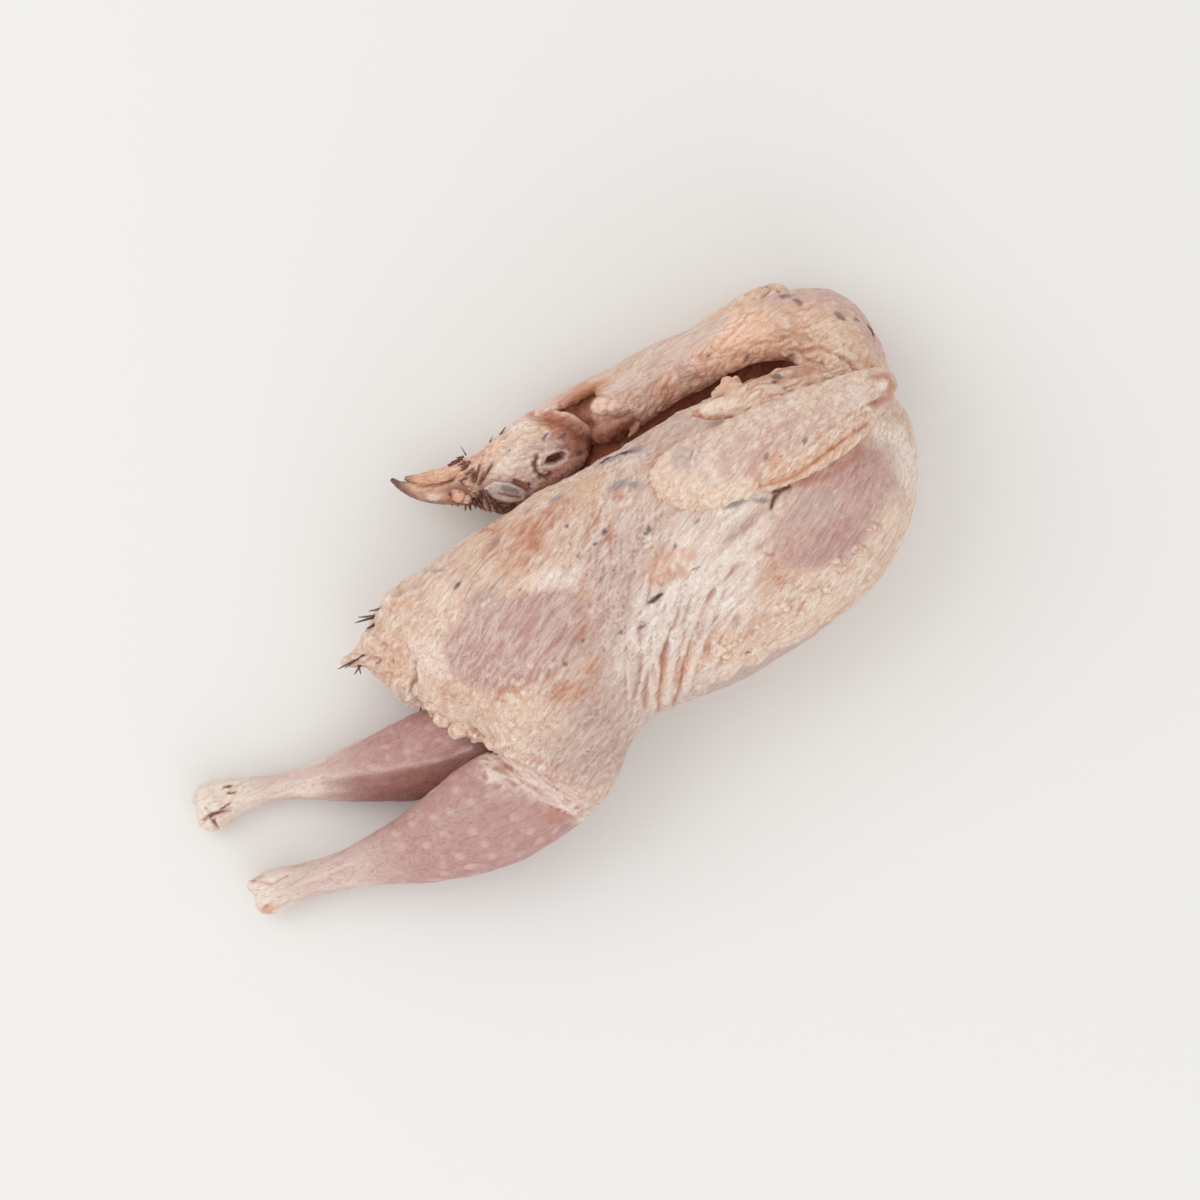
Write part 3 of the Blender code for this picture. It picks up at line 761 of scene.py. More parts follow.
def carcass():
    """The body with both thighs, the web of skin between thigh and breast, and the tail stump."""
    body = bmesh.new()
    loft(body, square_sections(TRUNK), around=96, keel=0.14)
    for rows in (NEAR_THIGH, FLANK_WEB, FAR_THIGH):
        loft(body, limb_sections(rows))
    softened = fused(body, 1.5, 24)
    shells = bmesh.new()
    shells.from_mesh(softened)
    bpy.data.meshes.remove(softened)
    skin = Skin("carcass", 0.48, 5, [TAIL_STUB, VENT_LOBE], [
        (-45.6, 3.4, 16.5, 2.4, 1.4, 2, 20), (-46, -5.2, 13.5, 2.6, 1.6, 2, -40),
        (-43, -8.6, 15, 2.2, 1.8, 3, 0), (-36.4, 9.6, 24, 3, 2, 3, 30), (-35, -21.6, 21, 2, 1.5, 3, -60),
        (-31.6, -25.4, 22, 2.3, 1.6, 2.6, -30), (-28.2, -28.4, 23.5, 2.4, 1.5, 2.6, -40),
        (-25.2, -31.2, 25, 2.2, 1.5, 3, -50),
    ], shells)
    p = skin.start
    x, y, z = p.T
    thigh, breast = thigh_patch(p), breast_patch(p)
    web = oval(p, 31, -15, 29, 13, 42, 0.3)
    rear = 1 - ease(-12, 6, x)
    tail = 1 - ease(-42, -34, x)
    back = ease(1, 7, y)
    q = ragged(p, 7, 2.2, 161)
    keel_side, _ = beside(ragged(p, 6, 0.9, 163), KEEL_EDGE)
    keel = ease(8, 16, x) * (1 - ease(62, 74, x)) * ease(-0.4, 0.7, -keel_side)
    edge_side, _ = beside(p, KNEE_EDGE)
    shin = ease(0.4, 1.6, -edge_side) * ease(-60, -30, -np.abs(x)) * (1 - ease(-34, -31, y))
    cuff = line(p, KNEE_EDGE, 4)
    smooth = np.clip(thigh + breast + keel + shin, 0, 1)

    skin.push(layers(p, 14, 3, 3) * 0.6 + noise(p, 4.5, 4) * 0.25)
    skin.push(-0.35 * thigh + 0.4 * breast)
    skin.push(tail * (noise(p, 5, 5) + 0.6 * noise(p, 2.6, 6)))
    skin.push(line(p, ABDOMEN_EDGE, 2.6) * (0.4 + 1.7 * noise(p, 3, 7) + 0.8 * noise(p, 1.7, 8)))
    skin.push(back * noise(p, (6, 4, 6), 9) * 0.5)
    skin.folds(FURROWS)
    skin.folds([(KNEE_EDGE, 1.1, 0.7)])
    notch = line(p, [(55.4, -1.2), (56.6, 0.6), (58.6, 1.8)], 0.45)
    notch = np.maximum(notch, line(p, [(57.4, 2.2), (61, 2.2)], 0.6))
    skin.push(-notch * 1.3 * skin.up)
    skin.settle()

    back_folds = crinkled(p, BACK_FLOW, 1.35, 6, 81, sway=0.8)
    rear_folds = crinkled(p, heading(-20), 1.7, 2.8, 83)
    small_folds = crinkled(p, heading(38), 1.15, 4.2, 85, sway=0.9)
    knee_folds = crinkled(p, KNEE_FLOW, 1.4, 3.6, 87)
    cuff_folds = crinkled(p, heading(62), 1.5, 6, 89) * crinkled(p, heading(-20), 1.8, 5, 90)
    breast_folds = crinkled(p, BREAST_FLOW, 1.5, 6, 91)
    web_folds = crinkled(p, WEB_FLOW, 2.4, 60, 71, 0.018, 0.2)
    web_threads = np.maximum(threads(p, WEB_FLOW, 2.2, 40, 73, 0.02, 0.2, 3.6),
                             threads(p, WEB_FLOW, 3.4, 26, 74, 0.02, 0.6, 5))
    fine_threads = threads(p, heading(36), 1.15, 12, 121, sway=0.7, thin=3.4)
    cross_threads = threads(p, heading(62), 1.3, 8, 123, sway=0.7, thin=4)
    strands = threads(p, BACK_FLOW, 1.4, 8, 125, sway=0.8, thin=3.8)
    streaks = threads(p, BACK_FLOW, 1.6, 6, 127, sway=0.8, thin=2.6)
    knee_lines = knee_net(p) * shin * ease(-33, -27, x)

    folds = rear_folds + (back_folds - rear_folds) * back
    folds = folds + (knee_folds - folds) * oval(p, -8, -36, 22, 11, -10, 0.3)
    folds = folds + (breast_folds - folds) * ease(26, 34, x)
    folds = folds + (web_folds - folds) * web
    folds = folds + (cuff_folds * 1.2 - folds) * cuff * (1 - thigh)
    rough = 0.35 + 0.65 * ease(-0.35, 0.45, layers(p, 9, 2, 88))
    rough = rough * (1 - 0.45 * oval(p, -32, -13, 11, 14, 0, 0.5))
    depth = (0.21 + 0.03 * rear + 0.2 * tail + 0.16 * web) * rough * (1 - 0.85 * smooth)
    clumps = ovals(p, [
        (51, -24.4, 2.2, 1.6, -50), (53.6, -25.4, 2.4, 1.3, -40), (58.6, -21.8, 3, 1.5, -42),
        (61.4, -23.6, 2.2, 1.2, -45), (66.8, -19.4, 2.6, 1.4, -40), (37, -27, 4, 1.4, 15),
        (43.6, -25.6, 2, 1.2, 10), (33, -29.4, 4, 1.6, 10), (72, -17.6, 2.2, 1, -40),
        (76.6, -13.8, 2.2, 1, -40),
    ], 0.5)
    granules = ease(0, 0.7, lumps(p, 1.9, 131, 0.9, 0.8)) * clumps
    granules = granules + 0.8 * lumps(p, 2.2, 141, 0.5) * oval(p, 27, -6, 5, 4, 20, 0.5)
    granules = granules + 0.7 * lumps(p, 2.4, 143, 0.5) * oval(p, -14, -19.5, 12, 3, 5, 0.5)
    relief = (folds - 0.5) * depth + (small_folds - 0.5) * 0.13 * (1 - 0.6 * smooth)
    relief += 0.34 * web_threads * web + 0.1 * fine_threads * (thigh + 0.4 * breast) * (1 - web)
    relief += 0.12 * strands * (1 - smooth) * (1 - web) + 0.36 * knee_lines
    relief += 0.16 * cross_threads * ease(4, 12, x) * (1 - ease(28, 36, x)) + 0.6 * granules + 0.55 * clumps
    skin.push(relief)
    skin.lay_flat()

    skin.base(21, TAN, ((9, CREAM, 0.7), (6, LILAC, 0.5), (3.6, ORANGE, 0.42), (2, WHITE, 0.3)))
    skin.zones(q, [
        (9, -29, 14, 13, 0, LILAC, 1), (-5, -38, 12, 9, -20, LILAC, 1), (17, -10, 17, 15, 0, LILAC, 1),
        (20, 2, 10, 6, 0, LILAC, 0.8), (16, 16, 12, 6, 20, TAN, 1), (24, -27, 10, 10, 50, LILAC, 0.6),
        # The white oval at (2.5, -0.4) is a painted highlight.
        (-15, 2.2, 5, 2.2, 10, GREY, 0.5), (2.5, -0.4, 6.5, 3.4, 0, WHITE, 0.8),
        (-32.5, -6.5, 4.5, 6.5, 0, WHITE, 0.45), (-34, -20, 5, 9, 35, CREAM, 0.6),
        (-41, -3, 7, 5, 20, ORANGE, 0.5), (-41, -13.5, 2.5, 2.5, 0, GREY, 0.5),
        (-4, -25.8, 4.8, 2, 5, ORANGE, 0.6), (3.5, -21, 4, 1.6, 30, ORANGE, 0.6),
        (-31.5, -16.5, 2.4, 2.8, 40, RUST, 0.35), (-13.5, -19.2, 6, 1.6, 0, RUST, 0.4),
        (2.8, -13.4, 3, 2.4, 50, RUST, 0.4), (8, -6, 4, 2, 60, ORANGE, 0.5),
        (-1, 9.8, 5, 1.1, 42, RUST, 0.75), (3.5, 15, 4.5, 0.9, 30, RUST, 0.4), (9, 9, 4, 1, 40, RUST, 0.3),
        (-7, 16, 4, 1.2, 15, RUST, 0.35), (-2, 12, 9, 4, 30, ORANGE, 0.5),
        (46.5, -8, 10, 6.5, 25, CREAM, 0.9), (45, -3, 12, 4, 25, WHITE, 0.4),
        (38, -12, 5, 4, 40, WHITE, 0.4), (13.5, -33.5, 3.6, 2.2, 55, RUST, 0.55),
        (19.8, -28.4, 3, 1.5, 60, RUST, 0.5), (20, -31, 8, 3, 30, ORANGE, 0.5),
        (45, 12, 30, 14, 0, LILAC, 0.6), (40, 25, 18, 4, 8, LILAC, 0.7),
        (90.5, -2, 4.5, 14, 18, WHITE, 0.85), (80, -12, 6, 5, 40, CREAM, 0.4),
        (84, -16, 8, 4, 45, CREAM, 0.5), (62, -22.5, 20, 6, 22, (234, 212, 194), 0.85),
        (48, -30, 16, 4, 16, CREAM, 0.6), (-10, -36, 11, 6, -30, LILAC, 0.6),
        (-16, -30, 12, 5, -20, CREAM, 0.5),
    ])
    skin.crease(folds, 0.42 * rough * (1 - 0.7 * smooth), (202, 146, 118), WHITE)
    skin.crease(small_folds, 0.27, (204, 154, 132), WHITE)
    plain = (1 - smooth) * (1 - web)
    skin.tint(strands * plain * 0.25, WHITE)
    burnt = ovals(q, [
        (-0.5, 10.6, 7.5, 3.2, 42), (-8, 17.4, 3.4, 1.4, 20), (-9.5, 12.4, 4, 1.8, 35),
        (14.6, 10, 3.4, 1.6, 50), (23.4, 14.6, 3, 1.6, 60), (8, 15.6, 5, 1.6, 35), (3, -12.6, 3, 3, 50),
        (-12, -19.4, 8, 1.8, 0), (18, 6.4, 3, 1.6, 60), (-4, -25.6, 5, 1.8, 5),
    ], 0.5)
    skin.tint(streaks * burnt * 0.8, (188, 118, 86))
    skin.tint(thigh * 0.9, (190, 148, 141))
    skin.tint(thigh * ease(0, 0.8, layers(p, 4.5, 3, 171)) * 0.45, LILAC)
    skin.tint(thigh * ease(0.1, 0.8, layers(p, 2.6, 3, 175)) * 0.35, PLUM)
    skin.tint(thigh * fine_threads * 0.42, WHITE)
    skin.tint(breast * 0.72, MAUVE)
    skin.zones(q, [
        (67, -13, 9, 4, 15, PLUM, 0.55), (78, -0.5, 5.5, 4, 30, PLUM, 0.6),
        (66, -3.5, 6, 3.5, 0, LILAC, 0.7), (83.5, -6, 3, 4, 0, LILAC, 0.4),
    ])
    skin.tint(breast * fine_threads * 0.18, WHITE)
    skin.tint(breast * ease(0, 0.7, layers(p, 3.6, 3, 181)) * 0.5, (214, 188, 178))
    skin.tint(breast * ease(0.1, 0.8, layers(p, 2.2, 2, 183)) * 0.3, PLUM)
    skin.tint(keel * 0.95, (197, 172, 163))
    skin.tint(ease(4, 12, x) * (1 - ease(28, 36, x)) * (1 - web) * cross_threads * 0.42, WHITE)
    skin.tint(shin * 0.9, PINK)
    skin.tint(shin * ease(-0.8, 0.2, layers(p, 5, 2, 285)) * 0.8, (196, 140, 118))
    skin.tint(knee_lines * 0.75, WHITE)
    skin.tint(cuff * ease(0.2, 0.6, cuff_folds) * ease(-1, 1, edge_side) * 0.35, WHITE)
    skin.tint(web * (1 - web_threads) * (1 - ease(0.2, 0.7, web_folds)) * 0.6, (188, 162, 156))
    skin.tint(web * web_threads, WHITE)
    skin.tint(web * ease(0.3, 0.8, web_folds) * 0.4, WHITE)
    skin.zones(q, [
        (26, -5.6, 5, 3.4, 25, (216, 170, 140), 0.6), (28.4, -8.2, 3.6, 1.8, 0, (208, 152, 120), 0.6),
        (33.5, -5, 2.2, 1.5, 20, ORANGE, 0.6), (15.5, 17.5, 6, 3.4, 20, (218, 178, 148), 0.7),
        (19.6, -28.6, 3.6, 1.6, 60, (212, 150, 116), 0.6), (28, -28, 8, 3, 25, (226, 184, 154), 0.6),
        (43, -29, 9, 2, 15, (230, 196, 174), 0.5), (50.5, -17, 3.4, 3.4, 60, (214, 164, 138), 0.5),
    ])
    # Furrows painted darker: orange-brown low down, partly the skin's own colour and partly painted shade,
    # and greyish painted shade higher up.
    furrow = line(p, FURROWS[0][0], 0.5) + line(p, FURROWS[1][0], 0.5) + 0.3 * line(p, FURROWS[2][0], 0.5)
    skin.tint(furrow * (1 - ease(-27, -20, y)) * 0.7 * skin.up, (190, 126, 96))
    skin.tint(furrow * ease(-27, -20, y) * 0.15 * skin.up, (182, 150, 138))
    skin.tint((line(p, FURROWS[3][0], 0.8) + line(p, FURROWS[4][0], 0.8)) * 0.75 * skin.up, WHITE)
    skin.tint(clumps * (1 - granules) * 0.5, (220, 174, 144))
    skin.tint(granules * 0.8, (242, 218, 192))
    skin.shade_hollows_light_crests()
    # Under the hand's lower edge: an orange-brown line, partly the skin's rim and partly painted shade, then
    # painted shade in the notch.
    skin.stroke([(63, 2), (69, 1.4), (74, 1.8), (79, 4.2)], 1, 0.55, RUST, around=True)
    skin.tint(notch * 0.8, (132, 84, 66))
    skin.stroke([(31.2, 9.6), (31.6, 14), (33.6, 18.6), (36.4, 21.6)], 0.8, 0.45, RUST, around=True)
    skin.stroke([(28, -31.4), (31.1, -30.3), (33.1, -28.1), (32.2, -25.9)], 0.35, 0.9, WHITE)
    top = np.maximum(1 - ease(12, 14, y), ease(28, 35, z))
    unmarked = skin.paint
    feather_marks(skin)
    skin.paint = unmarked + (skin.paint - unmarked) * top[:, None]
    dim = ovals(q, [
        (10, -29, 17, 14, 0), (-5, -40, 12, 10, -20), (14, -8, 16, 12, 20), (46, -8, 14, 9, 25),
        (-8, 10, 12, 5, 25), (28, -20, 10, 8, 45),
    ], 0.6)
    skin.paint = skin.paint * (1 - dim[:, None] * (0.07, 0.1, 0.11))
    # Painted shade in the gap between the neck and the back.
    gap_side, _ = beside(p, NECK_GAP)
    deep = ease(-2.6, -0.4, gap_side) * (1 - ease(24, 33, z)) * ease(16, 22, x) * (1 - ease(80, 86, x))
    skin.tint(deep * 0.97, GAP_SHADE)
    skin.stroke([(50.4, -10.4), (51.2, -11.4), (52.2, -11.6)], 0.4, 0.8, RUST)
    skin.stroke([(37.5, -8.7), (37.2, -16.4)], 0.4, 0.8, WHITE)
    finish_piece(skin, BODY_SKIN, keep=0.57)


# ------------------------------------------------------------------ legs
def worked_leg(skin, rows, knee, spots, spotted, hock_folds):
    """A drumstick: pink muscle under thin skin with pale follicles, and the bare pale hock."""
    p = skin.start
    path = [row[:2] for row in rows]
    x = p[:, 0]
    shaft = 1 - ease(-74, -50, x)
    hock = 1 - ease(-90, -80, x)
    cords = flowing(p, path, 2.2, 34, 211)
    fine = crinkled(p, path, 1.1, 4, 221)
    net = knee_net(p)
    dots = lumps(turned(wrapped(ragged(p, 9, 0.7, 255), rows), -14), (*spots, 5), 251, 0.85, 0.5)
    dots = ease(0.66, 0.96, dots) * ease(-66, -52, x) * ease(-1.6, -0.2, layers(p, 7, 2, 257))
    dots = dots * (1 - 0.8 * knee) * spotted
    skin.push(layers(p, 8, 3, 203) * 0.25)
    skin.push(hock * (0.6 * noise(p, 4.6, 205) + 0.16 * noise(p, 1.7, 206)))
    skin.push(cords * 0.55 * shaft + (fine - 0.5) * (0.08 + 0.06 * hock) + net * knee * 0.32 + dots * 0.1)
    skin.folds(hock_folds)
    skin.lay_flat()
    skin.base(261, (195, 153, 147), ((8, MAUVE, 0.8), (4, LILAC, 0.4), (2.4, PLUM, 0.35)))
    skin.tint(shaft * 0.85, (226, 206, 196))
    skin.tint(shaft * ease(0, 0.6, cords) * 0.7, BONE)
    skin.tint(shaft * ease(0, 0.6, -cords) * 0.35, (210, 168, 156))
    skin.tint(hock * 0.9, BONE)
    skin.tint(hock * ease(0.2, 0.8, layers(p, 3.4, 2, 281)) * 0.4, ORANGE)
    skin.tint(hock * ease(0.2, 0.7, layers(p, 5, 2, 283)) * 0.5, WHITE)
    skin.tint(dots * 0.42, (228, 202, 194))
    skin.tint(knee * (1 - net) * ease(-0.8, 0.2, layers(p, 5, 2, 285)) * 0.8, (196, 140, 118))
    skin.tint(knee * net * 0.95, WHITE)
    skin.crease(fine, 0.1, PLUM, (222, 192, 184))


def upper_leg():
    """The drumstick that lies on top."""
    knuckles = [(-90.5, -44.4, 7, 3.4, 2.6, 3, 0), (-90.2, -49.6, 6, 3.2, 2.6, 3.2, 0)]
    skin = Skin("upper_leg", 0.42, 5, [NEAR_DRUMSTICK], knuckles)
    worked_leg(skin, NEAR_DRUMSTICK, knee_zone(skin.start), (5.6, 4.7), 1, [
        ([(-92, -43), (-88, -45), (-84, -44.6)], 0.6, -0.7),
        ([(-91.5, -50), (-88, -49), (-83, -50)], 0.6, -0.6),
        ([(-90, -47), (-80, -47.6), (-68, -47)], 0.8, 0.5),
    ])
    p = skin.start
    skin.zones(ragged(p, 3, 1, 291), [
        (-14, -48.5, 5, 4.5, 0, (190, 140, 124), 0.5), (-15, -51.5, 5, 2.5, 10, RUST, 0.35),
        (-36, -43.5, 12, 2, 4, LILAC, 0.4), (-91.5, -51, 2, 1.4, 0, ORANGE, 0.7),
        (-91.5, -42.5, 1.6, 1.2, 0, RUST, 0.5),
    ])
    skin.shade_hollows_light_crests()
    finish_piece(skin, LEG_SKIN)


def under_leg():
    """The drumstick underneath, with its tendon and its shaded side."""
    tendon = [(-84, -21.8), (-76, -23.4), (-66, -25), (-52, -28.2), (-40, -30.4), (-31, -30.6)]
    knuckles = [(-94.2, -19.6, 6.2, 3.4, 2.6, 3, 0), (-94.8, -25.4, 5.4, 3.4, 2.6, 3.2, 0)]
    skin = Skin("under_leg", 0.42, 5, [FAR_DRUMSTICK], knuckles)
    p = skin.start
    x = p[:, 0]
    side, _ = beside(p, tendon)
    worked_leg(skin, FAR_DRUMSTICK, np.zeros(len(p)), (4.8, 3.8), 0.8, [
        (tendon, 0.7, 0.15), ([(-98.6, -25.2), (-95, -24.6), (-91.6, -25.4)], 0.5, -0.9),
        ([(-97, -22.4), (-95.6, -25.4), (-96.6, -28)], 0.5, -0.7),
    ])
    shade = ease(0.3, 1.8, -side) * ease(-72, -58, x)
    skin.tint(shade * 0.8, (152, 106, 96))
    skin.tint(shade * ease(0, 0.7, layers(p, 3, 3, 295)) * 0.6, (182, 140, 130))
    skin.tint(ease(-0.2, 0.8, layers(p, 2, 2, 297)) * ease(-64, -50, x) * 0.6, PLUM)
    skin.tint(ease(-36, -27, x) * 0.75, (134, 82, 72))
    skin.tint(oval(ragged(p, 4, 1.4, 298), -45, -33, 14, 3.4, 4, 0.5) * 0.5, (134, 84, 72))
    skin.stroke(tendon, 0.6, 0.35 + 0.5 * noise(p, 4, 299), (226, 204, 198))
    skin.marks([
        (-90.2, -19.4, 2.4, 0.7, -5), (-89.8, -21, 2.4, 0.6, -10), (-94.8, -24.6, 6.5, 0.9, 3),
        (-96.4, -26.2, 0.9, 3.8, 20), (-92.6, -23.6, 4, 0.7, 12),
    ], (112, 58, 46), 0.95)
    skin.shade_hollows_light_crests()
    finish_piece(skin, LEG_SKIN)


# ------------------------------------------------------------------ wings
WING_EDGE = [
    (33, 7.5), (36.5, 4.6), (45, 3.4), (54, 3.6), (60, 4.4), (66, 4.8), (72, 6.4), (78, 8.6), (84, 11),
]


def upper_wing():
    """The folded wing on top: forearm, hand and the beaded skin along its edge."""
    skin = Skin("upper_wing", 0.3, 5, [NEAR_FOREARM, NEAR_HAND], [
        (90.2, 17.2, 45, 3.2, 2.6, 2.6, 0), (55.6, 5, 58, 2.4, 1.3, 1.3, 20),
        (35.6, 9.4, 52.5, 3.2, 2.6, 2.2, 0), (39.8, 6.4, 55, 3.6, 2.2, 2.2, -10),
        (35.6, 14.6, 51.5, 2.6, 3.2, 2.2, 0),
    ])
    p = skin.start
    x, y, _ = p.T
    edge = 1 - ease(2, 6.5, along(p, WING_EDGE))
    elbow = 1 - ease(35, 49, x + (y - 12) * 0.4 + 3 * noise(p, 6, 307))
    skin.push(layers(p, 7, 3, 303) * 0.35 + elbow * noise(p, 3.4, 305) * 0.5)
    skin.folds([
        ([(57.5, 4.6), (60, 4.7), (66, 4.9), (71, 6.4), (78, 8.4)], 0.5, -0.55),
        ([(56, 6.4), (62, 7.4), (70, 8.6), (78, 11), (85, 13)], 0.7, 0.4),
        ([(78.5, 8.8), (82, 10.2), (86, 12.2)], 1, 0.7),
        ([(45.5, 20.6), (44.3, 18.5), (42.6, 16.2), (41.8, 15)], 0.45, 0.6),
        ([(44.4, 20.8), (43, 18), (41.4, 16)], 0.5, -0.6),
        ([(47, 8), (44, 11), (43.6, 14), (46, 17)], 1.6, -0.4),
        ([(68, 8.8), (74, 11.4), (80, 13), (88, 14)], 0.5, -0.5),
        ([(71, 8.6), (77, 10.8), (84, 12.6)], 0.45, -0.45),
        ([(86, 13.2), (89.5, 14.4), (91.8, 16.4)], 0.8, -0.8),
        ([(66.5, 19.5), (74, 20.6), (84, 20.2)], 0.8, -0.3),
    ])
    skin.settle()
    rows = turned(ragged(p, 6, 0.5, 315), 24)
    quills = lumps(flat(rows), (2.6, 1.9, 2.6), 321, 1, 0.35)
    beads = ease(0, 0.9, lumps(turned(flat(ragged(p, 5, 0.9, 325)), 50), (3.2, 1.8, 3), 331, 0.8, 0.8))
    grainy = crinkled(p, heading(14), 1.2, 2.6, 311)
    strokes = crinkled(p, heading(38), 1.1, 3.6, 313)
    scallop = lumps(p, (2.4, 2.4, 2.4), 341, 0.9, 0.7)
    beaded = beads * (1 - edge)
    skin.push((grainy - 0.5) * 0.2 + (strokes - 0.5) * 0.3 * edge + 0.16 * beaded * (1 - 0.7 * elbow))
    skin.push(0.16 * quills * edge * (1 - elbow) + 0.45 * scallop * elbow + 0.06 * layers(p, 1, 2, 345))
    skin.settle()
    q = ragged(p, 4, 1.2, 351)
    skin.base(361, (236, 214, 199), ((6, WHITE, 0.7), (3, LILAC, 0.35), (2.2, ORANGE, 0.3)))
    skin.tint(edge * 0.75, CREAM)
    skin.tint(elbow * 0.7, (230, 202, 178))
    skin.zones(q, [
        (41, 16.5, 3.4, 3, 0, GREY, 0.55), (44, 12.5, 4, 4, 0, WHITE, 0.5),
        (58, 12.5, 14, 4.6, 8, LILAC, 0.25), (57, 10.5, 6, 2.4, 20, MAUVE, 0.28),
        (69, 12, 7, 2.2, 15, MAUVE, 0.25), (53, 14.5, 4, 1.8, 30, MAUVE, 0.3),
        (64, 16.5, 6, 1.8, 10, MAUVE, 0.15), (86, 13.6, 4, 1.3, 25, MAUVE, 0.45),
        (82, 17.6, 6, 3, 0, WHITE, 0.5), (60, 8.6, 1.8, 2.4, -20, ORANGE, 0.85),
        (54.4, 6.4, 1.5, 1.8, 30, RUST, 0.6), (76, 20, 10, 3, 0, CREAM, 0.5),
        (68, 6.2, 9, 1.7, 10, (232, 196, 168), 0.9), (47, 4.6, 10, 1.8, 0, (240, 218, 198), 0.8),
    ])
    lattice = (1 - beads) * (1 - edge) * (1 - elbow)
    skin.tint(lattice * (0.22 + 0.3 * oval(q, 60, 12, 16, 4.6, 10, 0.6)), (208, 166, 148))
    skin.tint(beaded * (1 - elbow) * 0.25, (240, 220, 204))
    skin.crease(grainy, 0.28, (206, 158, 136), WHITE)
    skin.crease(strokes, 0.4 * edge, ORANGE, WHITE)
    skin.tint(quills * edge * 0.2, WHITE)
    skin.tint(scallop * elbow * 0.5, (244, 224, 202))
    skin.shade_hollows_light_crests(ORANGE, RUST, 0.55)
    groove_path = [(54.5, 4.6), (58, 3.9), (62, 3.8), (66, 4.6), (71, 6.2), (78, 8.4), (83, 9.6)]
    groove = line(p, groove_path, 0.5) * ease(-1.2, 0.2, layers(p, 4, 2, 371))
    skin.tint(np.maximum(groove, line(p, groove_path, 1.3) * 0.4) * 0.9 * skin.up, (194, 126, 92))
    skin.stroke([(66, 2.9), (71, 3.4), (76, 5.4), (79, 7.4)], 0.7, 0.45, ORANGE, around=True)
    skin.tint(ease(86, 89, x) * 0.4, TAN)
    skin.tint(oval(p, 90.4, 16.8, 1.5, 1.2, 0, 0.6) * 0.8 * skin.up, WHITE)
    wrist_rim = [(88.5, 19.5), (91.6, 19), (92.6, 16.4), (90.8, 13.8), (87, 13)]
    skin.stroke(wrist_rim, 0.8, 0.65, RUST, around=True)
    # Painted shade along the wing's top edge.
    skin.stroke([(46, 22.4), (54, 23.2), (62, 24), (70, 24.2), (78, 23.6)], 0.8, 0.5, RUST, around=True)
    skin.marks([
        (58.2, 10.4, 1.7, 1.1, 60), (68, 10.8, 1.9, 1, 50), (79.5, 9, 1, 0.6, 20), (61.5, 9.3, 1, 0.7, 0),
    ], (140, 122, 122), 0.85)
    finish_piece(skin, WING_SKIN)


def under_wing():
    """The folded wing underneath."""
    skin = Skin("under_wing", 0.55, 5, [FAR_WING, FAR_UPPER_ARM])
    p = skin.start
    folds = crinkled(p, heading(32), 1.6, 4, 401)
    skin.push(layers(p, 7, 3, 403) * 0.35 + (folds - 0.5) * 0.3)
    skin.folds([
        ([(70.6, 46.9), (73.2, 48.4), (75.2, 49.4)], 0.5, -1.3),
        ([(74.6, 50.6), (76, 49.8), (77.2, 48)], 0.5, -1), ([(58, 47.6), (66, 49), (71, 49.6)], 0.8, 0.4),
    ])
    skin.lay_flat()
    skin.base(411, (230, 198, 174), ((5, CREAM, 0.8), (3, ORANGE, 0.5), (1.8, LILAC, 0.3)))
    skin.crease(folds, 0.3, ORANGE, WHITE)
    skin.tint(ease(68, 72, p[:, 0]) * ease(49, 51, p[:, 1]) * 0.4, RUST)
    # Painted shade where the wing lies under the back.
    buried_shade = (1 - ease(36, 44, p[:, 1])) * skin.up
    skin.tint(buried_shade * 0.95, GAP_SHADE)
    skin.shade_hollows_light_crests()
    finish_piece(skin, WING_SKIN)


